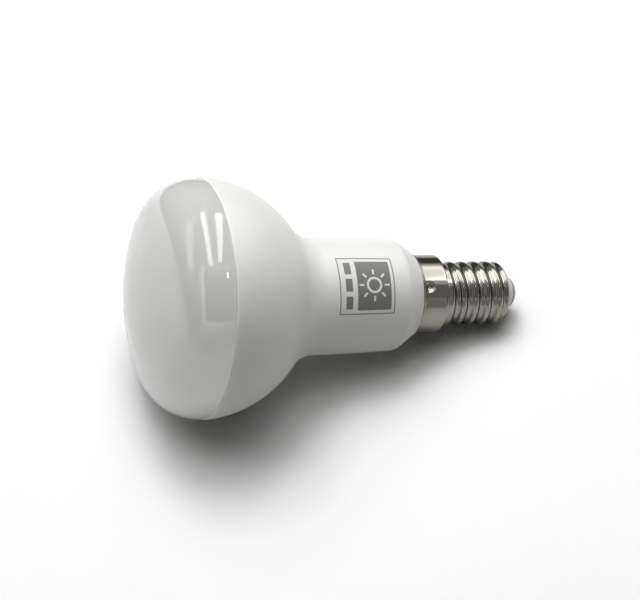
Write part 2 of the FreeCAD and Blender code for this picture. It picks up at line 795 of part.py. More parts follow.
def make_fuse_resistor():
    """Fusible resistor with dished ends, lying along the board's tongue."""
    cap = d.fuse_cap
    body = turned("fuse_resistor", [
        (0, 0),
        (d.fuse_radius - d.can_edge, 0),
        (d.fuse_radius, d.can_edge),
        (d.fuse_radius, cap),
        (d.fuse_waist, cap + d.can_edge),
        (d.fuse_waist, d.fuse_length - cap - d.can_edge),
        (d.fuse_radius, d.fuse_length - cap),
        (d.fuse_radius, d.fuse_length - d.can_edge),
        (d.fuse_radius - d.can_edge, d.fuse_length),
        (0, d.fuse_length),
    ])
    piece("fuse_resistor", body, (top_face + d.fuse_radius, 0, seam + d.fuse_start))


def flat_package(label, width, length, height, start, legs):
    """Moulded package under the board, with gull-wing legs along both sides."""
    face = low_face
    low = (face - height, -width / 2, seam + start)
    things = [box(label + "_case", low, (height, width, length))]
    for index in range(legs):
        middle = seam + start + length * ((index + 0.5) / legs)
        for side in (-1, 1):
            reach = width / 2 + d.leg_reach
            edge = -reach if side < 0 else width / 2 - d.leg_sheet
            name = "%s_leg_%d_%d" % (label, index, side + 1)
            leg_low = (face - d.leg_sheet, edge, middle - d.leg_width / 2)
            size = (d.leg_sheet, d.leg_reach + d.leg_sheet, d.leg_width)
            things.append(box(name, leg_low, size))
    piece(label, group(label, "MultiFuse", things))


def make_chip_resistors():
    """Chip resistors in two rows on the underside of the board."""
    things = []
    for index in range(CHIP_COUNT):
        side = -1 if index % 2 else 1
        start = seam + d.resistor_start + d.resistor_step * (index // 2)
        low = (low_face - d.resistor_height, side * d.resistor_row - d.resistor_width / 2, start)
        size = (d.resistor_height, d.resistor_width, d.resistor_length)
        things.append(box("resistor_%d" % index, low, size))
    piece("chip_resistors", group("chip_resistors", "Compound", things))


def bent_wire(label, radius, points, bend):
    """Round wire along straight runs joined by tangent arcs."""
    corners = [FreeCAD.Vector(*[plain(value) for value in point]) for point in points]
    edges = []
    start = corners[0]
    for index in range(1, len(corners) - 1):
        corner = corners[index]
        back = (corners[index - 1] - corner).normalize()
        ahead = (corners[index + 1] - corner).normalize()
        half = back.getAngle(ahead) / 2
        setback = bend.value / math.tan(half)
        centre_way = (back + ahead).normalize()
        middle = corner + centre_way * (bend.value / math.sin(half) - bend.value)
        first = corner + back * setback
        last = corner + ahead * setback
        edges.append(Part.LineSegment(start, first).toShape())
        edges.append(Part.Arc(first, middle, last).toShape())
        start = last
    edges.append(Part.LineSegment(start, corners[-1]).toShape())
    path = Part.Wire(edges)
    way = (corners[1] - corners[0]).normalize()
    section = Part.Wire(Part.makeCircle(radius.value, corners[0], way))
    thing = doc.addObject("Part::Feature", label)
    thing.Shape = path.makePipeShell([section], True, True)
    piece(label, thing)


def make_leads():
    """Two leads from the driver board through the heat sink to the LED terminal."""
    top = plate_z - d.led_board_sheet
    foot = seam + d.board_start + d.lead_overlap
    face = top_face + d.wire_radius
    for name, side in (("led_lead_positive", 1), ("led_lead_negative", -1)):
        across = side * d.wire_radius * d.lead_spread
        pin = side * d.terminal_length / 4
        rise = top - d.terminal_height - d.lead_rise
        points = [
            (face, across, foot),
            (face, across, rise),
            (d.terminal_offset, pin, rise),
            (d.terminal_offset, pin, top - d.terminal_height - d.seat_gap),
        ]
        bent_wire(name, d.wire_radius, points, d.wire_bend)


# The screw cap

cap_bore = d.cap_radius - d.cap_sheet
collar_end = housing_end + d.collar_length
cap_start = housing_end + d.seat_gap
shell_top = seam + d.thread_end


def shoulder_profile(bend, foot):
    """Height at which the collar's round shoulder comes down to the round that leads into the thread."""
    centre = d.cap_radius - d.collar_bend
    lean = foot - centre
    return collar_end + root(bend * bend - lean * lean)


def curl_height(bend, distance):
    """Height of the curled end at a distance from the axis."""
    lean = distance - (d.thread_crest - d.shell_bend)
    return shell_top + root(bend * bend - lean * lean)


thread_half = (d.thread_pitch - d.thread_flat) / 2
thread_rise = d.thread_crest - d.thread_root
thread_bend = (thread_half * thread_half / 4 + thread_rise * thread_rise / 4) / thread_rise
thread_start = seam + d.thread_pitch * d.thread_first + d.thread_phase


def ridge(body, kind, name, inward, height):
    """Rolled thread: a wave of equal round crests and hollows, moved inward, wound up the shell."""
    foot = d.thread_root - inward
    share = inward / (2 * thread_bend)
    side = thread_half * (0.5 - share)
    flank = foot + thread_rise * (0.5 + share)
    hollow = thread_bend + inward
    crown = thread_bend - inward
    sink = foot - d.cap_sheet / 2
    sketch = sketch_on(body, name + "_wave", "XZ_Plane", [[
        (sink, thread_start - thread_half),
        (foot, thread_start - thread_half, -hollow),
        (flank, thread_start - side, crown),
        (flank, thread_start + side, -hollow),
        (foot, thread_start + thread_half),
        (sink, thread_start + thread_half),
    ]])
    helix = body.newObject("PartDesign::" + kind, name)
    helix.Profile = sketch
    helix.ReferenceAxis = (sketch, ["V_Axis"])
    helix.Mode = 0
    bind(helix, Pitch=d.thread_pitch, Height=height)
    return helix


def make_cap_shell():
    body = doc.addObject("PartDesign::Body", "rolled_shell")
    foot = d.thread_root + d.root_out
    shoulder = shoulder_profile(d.collar_bend, foot)
    root_start = shoulder + d.root_up
    lip_end = cap_start + d.lip_land
    mouth_z = curl_height(d.shell_bend, d.shell_mouth)
    revolved(body, "Revolution", "blank", [
        (0, cap_start),
        (d.lip_radius, cap_start),
        (d.lip_radius, lip_end, -d.lip_bend),
        (d.cap_radius, lip_end + d.lip_bend),
        (d.cap_radius, collar_end, d.collar_bend),
        (foot, shoulder, -d.root_bend),
        (d.thread_root, root_start),
        (d.thread_root, mouth_z),
        (0, mouth_z),
    ])
    ridge(body, "AdditiveHelix", "thread", 0, d.thread_reach)
    clear = d.thread_crest + d.thread_pitch
    far = mouth_z + 2 * d.thread_pitch
    revolved(body, "Groove", "curl", [
        (d.thread_crest, shell_top, d.shell_bend),
        (d.shell_mouth, mouth_z),
        (d.shell_mouth, far),
        (clear, far),
        (clear, shell_top),
    ])
    inner_foot = foot - d.cap_sheet
    inner_bend = d.collar_bend - d.cap_sheet
    inner_root = d.thread_root - d.cap_sheet
    inner_shoulder = shoulder_profile(inner_bend, inner_foot)
    inner_curl = d.shell_bend - d.cap_sheet
    hole = d.shell_mouth - d.cap_sheet
    edge = d.shell_mouth - d.cap_sheet / 2
    revolved(body, "Groove", "inside", [
        (0, cap_start),
        (cap_bore, cap_start),
        (cap_bore, collar_end, inner_bend),
        (inner_foot, inner_shoulder, -(d.root_bend + d.cap_sheet)),
        (inner_root, root_start),
        (inner_root, curl_height(inner_curl, inner_root), inner_curl),
        (edge, curl_height(inner_curl, edge)),
        (hole, curl_height(inner_curl, hole)),
        (hole, mouth_z),
        (0, mouth_z),
    ])
    ridge(body, "SubtractiveHelix", "inner_thread", d.cap_sheet, d.thread_reach - d.inner_stop)
    bulge_ball = ball("crimp_ball", d.punch_radius + d.cap_sheet)
    collar = rod("crimp_limit", d.cap_radius - d.cap_sheet / 2, d.collar_length, (0, 0, cap_start))
    bulge = doc.addObject("Part::Common", "crimp_bulge")
    bulge.Base = bulge_ball
    bulge.Tool = collar
    bulges = ring_of("crimp_bulge_turn", bulge, CRIMP_COUNT, PUNCH_TURN)
    punches = ring_of("crimp_punch_turn", ball("crimp_punch", d.punch_radius), CRIMP_COUNT, PUNCH_TURN)
    full = doc.addObject("Part::Fuse", "shell_with_bulges")
    full.Base = body
    full.Tool = group("crimp_bulges", "Compound", bulges)
    piece("cap_shell", cut("cap_shell", full, group("crimp_punches", "Compound", punches)))


def ball(name, radius):
    """Ball whose skin, at the punch's own radius, dips below the collar by the crimp's depth."""
    thing = doc.addObject("Part::Sphere", name)
    distance = d.cap_radius + d.punch_radius - d.punch_depth
    bind(thing, Radius=radius, Placement__Base__x=distance, Placement__Base__z=seam + d.punch_height)
    return thing


def make_insulator():
    inner_curl = d.shell_bend - d.cap_sheet - d.insulator_gap
    neck = d.shell_mouth - d.cap_sheet - d.insulator_gap
    bore = d.pin_radius + d.pin_gap
    foot = seam + d.insulator_foot
    mouth_z = curl_height(d.shell_bend, d.shell_mouth)
    nose = seam + d.insulator_nose
    body = turned("cap_insulator", [
        (bore, foot),
        (d.insulator_radius, foot),
        (d.insulator_radius, curl_height(inner_curl, d.insulator_radius), inner_curl),
        (neck, curl_height(inner_curl, neck)),
        (neck, mouth_z, d.nose_bend),
        (d.contact_radius, nose),
        (bore, nose),
    ])
    piece("cap_insulator", body)


def contact_dome():
    """Radius of the contact's domed face, from its height and its rim."""
    rise = d.contact_height
    return (d.contact_radius * d.contact_radius + rise * rise) / (2 * rise)


def make_contact():
    nose = seam + d.insulator_nose + d.seat_gap
    edge = nose + d.contact_edge
    body = turned("end_contact", [
        (0, nose - d.pin_length),
        (d.pin_radius, nose - d.pin_length),
        (d.pin_radius, nose),
        (d.contact_radius, nose),
        (d.contact_radius, edge, contact_dome()),
        (0, edge + d.contact_height),
    ])
    piece("end_contact", body)


def make_cap_wires():
    """The live lead to the contact's stem and the neutral lead to the inside of the shell."""
    fuse_end = seam + d.fuse_start + d.fuse_length + d.seat_gap
    stem = seam + d.insulator_nose + d.seat_gap - d.pin_length - d.seat_gap
    offset = top_face + d.fuse_radius
    upper = fuse_end + (stem - fuse_end) / 3
    lower = fuse_end + (stem - fuse_end) * 2 / 3
    points = [
        (offset, 0, fuse_end),
        (offset, 0, upper),
        (0, 0, lower),
        (0, 0, stem),
    ]
    bent_wire("live_lead", d.wire_radius, points, d.wire_bend)
    face = low_face - d.wire_radius
    turn_z = housing_end + d.spigot_length + d.neutral_rise
    points = [
        (face, 0, seam + d.board_end),
        (face, 0, turn_z - d.wire_bend),
        (-d.neutral_reach, 0, turn_z + d.neutral_rise),
    ]
    bent_wire("neutral_lead", d.wire_radius, points, d.wire_bend)


make_diffuser()
make_housing()
make_heat_sink()
make_led_board()
make_leds()
make_screws()
make_terminal()
make_driver_board()
make_capacitor()
make_inductor()
make_input_capacitor()
make_varistor()
make_fuse_resistor()
flat_package("bridge_rectifier", d.bridge_width, d.bridge_length, d.bridge_height, d.bridge_start, 2)
flat_package("driver_chip", d.chip_width, d.chip_length, d.chip_height, d.chip_start, 4)
make_chip_resistors()
make_leads()
make_cap_shell()
make_insulator()
make_contact()
make_cap_wires()


def rest_placement():
    """Lays the lamp down: its bowl and the curled end of its last turn touch the plane z = 0."""
    across = plain(d.thread_crest - d.shell_bend - bowl_offset)
    along = plain(shell_top - bowl_z)
    reach = math.hypot(along, across)
    tilt = math.asin(plain(d.bowl_radius - d.shell_bend) / reach) - math.atan2(across, along)
    lift = plain(d.bowl_radius + bowl_offset * math.cos(tilt) + bowl_z * math.sin(tilt))
    left = crown_radius.value * (math.cos(tilt) - 1)
    button = contact_dome().value
    tip = plain(seam + d.insulator_nose + d.seat_gap + d.contact_edge + d.contact_height)
    right = (tip - button) * math.cos(tilt) + button
    turn = FreeCAD.Rotation(FreeCAD.Vector(0, 1, 0), 90 + math.degrees(tilt))
    return FreeCAD.Placement(FreeCAD.Vector(-(left + right) / 2, 0, lift), turn)


rest = rest_placement()
for thing, place in pieces:
    thing.Placement = rest.multiply(place)
doc.recompute()

for thing in doc.Objects:
    if "Invalid" in thing.State or "Error" in thing.State:
        raise RuntimeError("failed object: " + thing.Label)
for thing, place in pieces:
    if thing.Shape.isNull() or not thing.Shape.isValid():
        raise RuntimeError("bad shape: " + thing.Label)

os.makedirs("parts", exist_ok=True)
for thing, place in pieces:
    thing.Shape.exportStep("parts/" + thing.Label + ".step")
    print("%-22s %8.1f mm3 %3d solids" % (thing.Label, thing.Shape.Volume, len(thing.Shape.Solids)))
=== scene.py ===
"""Reflector lamp with an E14 screw cap, lying on a pale table under three ceiling strips.

The lamp's own coordinates are millimetres about its axis: r is the distance from the axis,
z the height above the pole of the domed face towards the cap, and the azimuth turns from the
side that points down when the lamp lies at rest. lay_down() carries them into the frame.
"""
import bpy
import math
import numpy as np
from mathutils import Matrix


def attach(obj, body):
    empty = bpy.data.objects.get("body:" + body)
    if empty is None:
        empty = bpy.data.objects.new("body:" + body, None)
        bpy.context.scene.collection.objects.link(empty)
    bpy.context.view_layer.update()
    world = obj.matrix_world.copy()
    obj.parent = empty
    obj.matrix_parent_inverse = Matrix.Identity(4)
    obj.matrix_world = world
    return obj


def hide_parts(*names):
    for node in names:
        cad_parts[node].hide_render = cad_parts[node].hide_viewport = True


MM = 0.001
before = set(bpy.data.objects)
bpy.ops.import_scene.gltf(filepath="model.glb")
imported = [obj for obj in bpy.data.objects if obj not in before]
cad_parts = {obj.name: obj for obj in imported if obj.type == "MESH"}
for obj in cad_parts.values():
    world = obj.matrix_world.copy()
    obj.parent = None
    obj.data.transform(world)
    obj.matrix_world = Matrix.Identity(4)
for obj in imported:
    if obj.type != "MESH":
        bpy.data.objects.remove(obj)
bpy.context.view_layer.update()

# How the lamp lies: the tilt of its axis and the place of the dome's pole, as in the solids
TILT = math.radians(15.72983072)
POLE_X = -40.7337889
POLE_Z = 28.5534032

# Heights of the lamp's main sections above the pole, in mm
SEAM = 13.9
NECK_END = SEAM + 43.1
HOUSING_END = SEAM + 47.2
SPIGOT_END = HOUSING_END + 4.8
CAP_START = HOUSING_END + 0.05
COLLAR_END = HOUSING_END + 5.4
SHELL_TOP = SEAM + 66.7
NOSE = SEAM + 70.75

COLUMNS = 256


def lay_down(points):
    """Lamp coordinates in mm to the frame in metres: a turn by 90 degrees and the tilt about +Y, a shift."""
    x, y, z = points[..., 0], points[..., 1], points[..., 2]
    across = -math.sin(TILT) * x + math.cos(TILT) * z + POLE_X
    up = -math.cos(TILT) * x - math.sin(TILT) * z + POLE_Z
    return np.stack([across, y, up], axis=-1) * MM


def arc(centre, radius, start, stop, count):
    """Points (r, z) on a circle about centre, from the start to the stop angle in degrees."""
    angle = np.radians(np.linspace(start, stop, count))
    return np.stack([centre[0] + radius * np.cos(angle), centre[1] + radius * np.sin(angle)], axis=-1)


def line(start, stop, count=2):
    """Evenly spaced points (r, z) on a straight run."""
    share = np.linspace(0, 1, count)[:, None]
    return np.array(start) * (1 - share) + np.array(stop) * share


def bearing(point, centre):
    """Angle in degrees at which a point (r, z) lies about a centre."""
    return math.degrees(math.atan2(point[1] - centre[1], point[0] - centre[0]))


def blend_corner(before, corner, after, radius, count=8):
    """Round of the given radius, tangent to the two runs that meet at a corner."""
    before, corner, after = (np.array(point, float) for point in (before, corner, after))
    back = (before - corner) / np.linalg.norm(before - corner)
    ahead = (after - corner) / np.linalg.norm(after - corner)
    half = math.acos(float(back @ ahead)) / 2
    middle = (back + ahead) / np.linalg.norm(back + ahead)
    centre = corner + middle * radius / math.sin(half)
    first = corner + back * radius / math.tan(half) - centre
    last = corner + ahead * radius / math.tan(half) - centre
    begin = math.degrees(math.atan2(first[1], first[0]))
    turn = math.degrees(math.atan2(first[0] * last[1] - first[1] * last[0], float(first @ last)))
    return arc(centre, radius, begin, begin + turn, count)


def new_piece(name, vertices, faces, material, nodes):
    """A smooth mesh of lamp coordinates that rides on the lamp and stands for the named nodes."""
    mesh = bpy.data.meshes.new(name)
    mesh.from_pydata(lay_down(vertices).reshape(-1, 3).tolist(), [], faces)
    mesh.polygons.foreach_set("use_smooth", np.ones(len(mesh.polygons), bool))
    mesh.materials.append(material)
    mesh.update()
    thing = bpy.data.objects.new(name, mesh)
    bpy.context.scene.collection.objects.link(thing)
    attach(thing, "root")
    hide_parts(*nodes)
    return thing


def grid_faces(rows, columns, closed_rows):
    """Quads of a grid of rows by columns that closes round the columns, and round the rows if asked."""
    low = np.arange(rows if closed_rows else rows - 1)[:, None]
    side = np.arange(columns)[None, :]
    high = (low + 1) % rows
    turn = (side + 1) % columns
    quads = [low * columns + side, low * columns + turn, high * columns + turn, high * columns + side]
    corners = [np.broadcast_to(corner, (low.size, columns)) for corner in quads]
    return np.stack(corners, axis=-1).reshape(-1, 4)


def spin(profile, columns=COLUMNS):
    """Surface of revolution: each point (r, z) goes round as (r cos a, r sin a, z).

    An outline from pole to pole closes with a fan of triangles at each pole, and one that
    stays off the axis closes on itself. It runs so that the solid lies on its left.
    """
    on_axis = profile[:, 0] < 1e-6
    body = profile[~on_axis]
    angle = np.linspace(0, 2 * np.pi, columns, endpoint=False)
    ring = np.stack([np.cos(angle), np.sin(angle)], axis=-1)
    around = body[:, None, :1] * ring[None]
    height = np.broadcast_to(body[:, None, 1:], (len(body), columns, 1))
    vertices = np.concatenate([around, height], axis=-1).reshape(-1, 3)
    faces = grid_faces(len(body), columns, not on_axis.any()).tolist()
    if on_axis.any():
        poles = np.array([[0, 0, z] for z in profile[on_axis, 1]])
        first = len(vertices)
        vertices = np.concatenate([vertices, poles])
        side = np.arange(columns)
        turn = (side + 1) % columns
        last = (len(body) - 1) * columns
        faces += np.stack([np.full(columns, first), turn, side], axis=-1).tolist()
        faces += np.stack([np.full(columns, first + 1), last + side, last + turn], axis=-1).tolist()
    return vertices, faces


# Materials

def linear(code):
    """The linear RGBA of an sRGB hex colour."""
    parts = np.array([int(code[i:i + 2], 16) for i in (1, 3, 5)]) / 255
    plain = np.where(parts <= 0.04045, parts / 12.92, ((parts + 0.055) / 1.055) ** 2.4)
    return (*plain.tolist(), 1.0)


def add(tree, kind, links=None, settings=None, **sockets):
    """A node with its settings, its socket values and its links, given as input name to output socket."""
    item = tree.nodes.new(kind)
    for name, value in (settings or {}).items():
        setattr(item, name, value)
    for name, value in sockets.items():
        item.inputs[name.replace("_", " ")].default_value = value
    for name, source in (links or {}).items():
        tree.links.new(source, item.inputs[name])
    return item


def empty_material(name):
    """A material with no nodes, and its tree."""
    material = bpy.data.materials.new(name)
    material.use_nodes = True
    material.node_tree.nodes.clear()
    return material, material.node_tree


IN_MM = (1 / MM, 1 / MM, 1 / MM)
COLOURS = {"data_type": "RGBA"}


def opal_polycarbonate():
    """Opal polycarbonate moulded in a polished tool: glossy, milky to a few mm deep, with a faint ripple."""
    material, tree = empty_material("opal_polycarbonate_polished")
    place = add(tree, "ShaderNodeTexCoord").outputs["Object"]
    place = add(tree, "ShaderNodeMapping", {"Vector": place}, Scale=IN_MM).outputs["Vector"]
    # Flow of the melt, about 9 mm across, seen as a very slight change of milkiness
    drift = add(tree, "ShaderNodeTexNoise", {"Vector": place}, Scale=1 / 9.0, Detail=2.0)
    colour = add(tree, "ShaderNodeMix", {"Factor": drift.outputs["Fac"]}, COLOURS)
    colour.inputs[6].default_value = linear("#cbcbc9")
    colour.inputs[7].default_value = linear("#cfcfcd")
    # Handling smears, 2.4 mm across, and a ripple of the skin, 3.2 mm long and a few microns deep
    smear = add(tree, "ShaderNodeTexNoise", {"Vector": place}, Scale=1 / 2.4, Detail=3.0)
    gloss = add(tree, "ShaderNodeMapRange", {"Value": smear.outputs["Fac"]}, To_Min=0.02, To_Max=0.045)
    ripple = add(tree, "ShaderNodeTexNoise", {"Vector": place}, Scale=1 / 3.2, Detail=1.0)
    relief = add(tree, "ShaderNodeBump", {"Height": ripple.outputs["Fac"]}, Strength=0.6, Distance=0.012 * MM)
    shader = add(tree, "ShaderNodeBsdfPrincipled",
                 {"Base Color": colour.outputs[2], "Roughness": gloss.outputs["Result"],
                  "Normal": relief.outputs[0]},
                 IOR=1.585, Specular_IOR_Level=0.95, Subsurface_Weight=0.35, Subsurface_Scale=2.5 * MM,
                 Subsurface_Radius=(1.0, 0.97, 0.94))
    add(tree, "ShaderNodeOutputMaterial", {"Surface": shader.outputs[0]})
    return material


def satin_thermoplastic():
    """White PBT moulded in a finely spark-eroded tool: satin, with an even fine grain."""
    material, tree = empty_material("pbt_white_satin_moulded")
    place = add(tree, "ShaderNodeTexCoord").outputs["Object"]
    place = add(tree, "ShaderNodeMapping", {"Vector": place}, Scale=IN_MM).outputs["Vector"]
    # Flow of the melt, about 14 mm across
    drift = add(tree, "ShaderNodeTexNoise", {"Vector": place}, Scale=1 / 14.0, Detail=2.0)
    colour = add(tree, "ShaderNodeMix", {"Factor": drift.outputs["Fac"]}, COLOURS)
    colour.inputs[6].default_value = linear("#e5e5e1")
    colour.inputs[7].default_value = linear("#e9e9e6")
    # Spark-eroded grain of 0.03 mm, drawn at 0.12 mm so that it shows
    grain = add(tree, "ShaderNodeTexNoise", {"Vector": place}, Scale=1 / 0.12, Detail=2.0)
    gloss = add(tree, "ShaderNodeMapRange", {"Value": grain.outputs["Fac"]}, To_Min=0.38, To_Max=0.46)
    relief = add(tree, "ShaderNodeBump", {"Height": grain.outputs["Fac"]}, Strength=0.35, Distance=0.004 * MM)
    shader = add(tree, "ShaderNodeBsdfPrincipled",
                 {"Base Color": colour.outputs[2], "Roughness": gloss.outputs["Result"],
                  "Normal": relief.outputs[0]},
                 IOR=1.54, Subsurface_Weight=0.12, Subsurface_Scale=1.0 * MM)
    add(tree, "ShaderNodeOutputMaterial", {"Surface": shader.outputs[0]})
    return material


def pad_ink():
    """Grey pad-printing ink, cured: satin, a little thin in places where the pad let go."""
    material, tree = empty_material("pad_ink_grey_cured")
    place = add(tree, "ShaderNodeTexCoord").outputs["Object"]
    place = add(tree, "ShaderNodeMapping", {"Vector": place}, Scale=IN_MM).outputs["Vector"]
    # Mottle of the ink film, 0.25 mm across
    mottle = add(tree, "ShaderNodeTexNoise", {"Vector": place}, Scale=1 / 0.25, Detail=2.0)
    colour = add(tree, "ShaderNodeMix", {"Factor": mottle.outputs["Fac"]}, COLOURS)
    colour.inputs[6].default_value = linear("#72726d")
    colour.inputs[7].default_value = linear("#80807b")
    gloss = add(tree, "ShaderNodeMapRange", {"Value": mottle.outputs["Fac"]}, To_Min=0.3, To_Max=0.42)
    shader = add(tree, "ShaderNodeBsdfPrincipled",
                 {"Base Color": colour.outputs[2], "Roughness": gloss.outputs["Result"]}, IOR=1.5)
    add(tree, "ShaderNodeOutputMaterial", {"Surface": shader.outputs[0]})
    return material


def bright_nickel():
    """Bright nickel plated on rolled brass: near mirror, warm grey, softened by the rolled sheet's grain."""
    material, tree = empty_material("nickel_bright_plated")
    place = add(tree, "ShaderNodeTexCoord").outputs["Object"]
    place = add(tree, "ShaderNodeMapping", {"Vector": place}, Scale=IN_MM).outputs["Vector"]
    # Haze of handling, 1.6 mm across, in colour and gloss
    haze = add(tree, "ShaderNodeTexNoise", {"Vector": place}, Scale=1 / 1.6, Detail=3.0)
    colour = add(tree, "ShaderNodeMix", {"Factor": haze.outputs["Fac"]}, COLOURS)
    colour.inputs[6].default_value = linear("#838179")
    colour.inputs[7].default_value = linear("#7b7972")
    gloss = add(tree, "ShaderNodeMapRange", {"Value": haze.outputs["Fac"]}, To_Min=0.07, To_Max=0.15)
    # Grain of the rolled sheet, 0.1 mm and drawn at 0.35 mm so that it shows
    marks = add(tree, "ShaderNodeTexNoise", {"Vector": place}, Scale=1 / 0.35, Detail=2.0)
    relief = add(tree, "ShaderNodeBump", {"Height": marks.outputs["Fac"]}, Strength=0.3, Distance=0.006 * MM)
    shader = add(tree, "ShaderNodeBsdfPrincipled",
                 {"Base Color": colour.outputs[2], "Roughness": gloss.outputs["Result"],
                  "Normal": relief.outputs[0]},
                 Metallic=1.0)
    add(tree, "ShaderNodeOutputMaterial", {"Surface": shader.outputs[0]})
    return material


def inner_finish(name, first, second, roughness, metallic, size, depth):
    """A moulded, plated, dipped or drawn finish: two close colours and a relief, its size and depth in mm."""
    material, tree = empty_material(name)
    place = add(tree, "ShaderNodeTexCoord").outputs["Object"]
    place = add(tree, "ShaderNodeMapping", {"Vector": place}, Scale=IN_MM).outputs["Vector"]
    pattern = add(tree, "ShaderNodeTexNoise", {"Vector": place}, Scale=1 / size, Detail=3.0)
    colour = add(tree, "ShaderNodeMix", {"Factor": pattern.outputs["Fac"]}, COLOURS)
    colour.inputs[6].default_value = linear(first)
    colour.inputs[7].default_value = linear(second)
    gloss = add(tree, "ShaderNodeMapRange", {"Value": pattern.outputs["Fac"]},
                To_Min=0.85 * roughness, To_Max=1.15 * roughness)
    relief = add(tree, "ShaderNodeBump", {"Height": pattern.outputs["Fac"]},
                 Strength=0.5, Distance=depth * MM)
    shader = add(tree, "ShaderNodeBsdfPrincipled",
                 {"Base Color": colour.outputs[2], "Roughness": gloss.outputs["Result"],
                  "Normal": relief.outputs[0]},
                 Metallic=metallic)
    add(tree, "ShaderNodeOutputMaterial", {"Surface": shader.outputs[0]})
    return material


# The small finishes: name, two colours, roughness, metallic, the relief's size and depth in mm, and nodes
FINISHES = [
    ("nylon_white_moulded", "#d8d7d2", "#e0dfda", 0.40, 0.0, 0.4, 0.004, ["cap_insulator"]),
    ("tin_plate_dull", "#a2a19e", "#989793", 0.5, 1.0, 0.7, 0.006, ["end_contact"]),
    ("aluminium_pressed_dull", "#b9babc", "#aeb0b3", 0.38, 1.0, 0.8, 0.01, ["heat_sink_cup"]),
    ("solder_mask_white", "#ecece8", "#e4e4e0", 0.35, 0.0, 1.5, 0.005, ["led_board"]),
    ("phosphor_silicone_yellow", "#ecd36b", "#e2c353", 0.30, 0.0, 0.3, 0.01, ["led_chips"]),
    ("steel_zinc_plated", "#b5b6b4", "#a4a6a6", 0.28, 1.0, 0.4, 0.006, ["board_screws"]),
    ("nylon_natural_moulded", "#e2e0d8", "#dad8cf", 0.45, 0.0, 0.5, 0.006, ["led_terminal"]),
    ("fibreglass_green_mask", "#3e6b36", "#355f2f", 0.32, 0.0, 0.25, 0.006, ["driver_board"]),
    ("pvc_sleeve_dark_blue", "#262c44", "#20253a", 0.30, 0.0, 1.2, 0.008, ["smoothing_capacitor"]),
    ("ferrite_sintered", "#3a3a3c", "#303032", 0.60, 0.0, 0.2, 0.01, ["inductor_core"]),
    ("copper_wire_enamelled", "#b26a3a", "#9c5a2e", 0.30, 1.0, 0.3, 0.05, ["inductor_winding"]),
    ("epoxy_dipped_ochre", "#b8963c", "#ab8a34", 0.25, 0.0, 1.0, 0.02, ["input_capacitor"]),
    ("epoxy_dipped_blue", "#2f5594", "#294c86", 0.25, 0.0, 1.0, 0.02, ["varistor"]),
    ("cement_coated_green", "#728c7c", "#67806f", 0.60, 0.0, 0.3, 0.02, ["fuse_resistor"]),
    ("epoxy_moulded_black", "#1e1e1f", "#262627", 0.50, 0.0, 0.15, 0.008,
     ["bridge_rectifier", "driver_chip", "chip_resistors"]),
    ("silicone_red_extruded", "#a92a22", "#9c241d", 0.40, 0.0, 0.5, 0.006, ["led_lead_positive"]),
    ("silicone_black_extruded", "#1b1b1c", "#232324", 0.40, 0.0, 0.5, 0.006,
     ["led_lead_negative", "live_lead"]),
    ("silicone_white_extruded", "#dddcd7", "#d4d3ce", 0.40, 0.0, 0.5, 0.006, ["neutral_lead"]),
]


def dress_nodes():
    """Gives each node its finish; the cap's tip takes its two finishes by name for the pieces over it."""
    for *values, names in FINISHES:
        material = inner_finish(*values)
        for name in names:
            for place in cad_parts[name].material_slots:
                place.material = material


# The pieces in sight

DOME_RADIUS = 24.86
SHOULDER_RADIUS = 10.6
DOME_WALL = 1.6
SKIRT_RADIUS = 22.95
SKIRT_WALL = 1.3
SKIRT_DEPTH = 3.8
BEAD = 0.3
BEAD_START = SEAM + 1.5
BEAD_LENGTH = 1.4
EDGE_LAND = 0.3
HAIR = 0.02
INNER_LIFT = 0.5
SHOULDER_Z = SEAM - 0.5


def make_diffuser():
    """Opal dome: a crown arc and a shoulder arc that touch, a short land and a snap skirt; an even wall."""
    offset = DOME_RADIUS - SHOULDER_RADIUS
    crown = (offset ** 2 + SHOULDER_Z ** 2 - SHOULDER_RADIUS ** 2) / (2 * (SHOULDER_Z - SHOULDER_RADIUS))
    touch = bearing((offset, SHOULDER_Z), (0, crown))
    inner_skirt = SKIRT_RADIUS - SKIRT_WALL
    skirt_end = SEAM + SKIRT_DEPTH
    outline = np.concatenate([
        arc((0, crown), crown, -90, touch, 60),
        arc((offset, SHOULDER_Z), SHOULDER_RADIUS, touch, 0, 60)[1:],
        line((DOME_RADIUS, SEAM - EDGE_LAND), (DOME_RADIUS, SEAM - HAIR)),
        line((DOME_RADIUS - HAIR, SEAM), (SKIRT_RADIUS, SEAM + HAIR)),
        line((SKIRT_RADIUS, SEAM + EDGE_LAND), (SKIRT_RADIUS, BEAD_START)),
        line((SKIRT_RADIUS + BEAD, BEAD_START + BEAD_LENGTH / 3),
             (SKIRT_RADIUS + BEAD, BEAD_START + BEAD_LENGTH / 1.5)),
        line((SKIRT_RADIUS, BEAD_START + BEAD_LENGTH), (SKIRT_RADIUS, skirt_end)),
        line((inner_skirt, skirt_end), (inner_skirt, SEAM + INNER_LIFT)),
        arc((offset, SHOULDER_Z), SHOULDER_RADIUS - DOME_WALL, 0, touch, 24),
        arc((0, crown), crown - DOME_WALL, touch, -90, 24)[1:],
    ])
    outline[0, 0] = outline[-1, 0] = 0
    vertices, faces = spin(outline)
    new_piece("opal_dome", vertices, faces, opal_polycarbonate(), ["diffuser"])


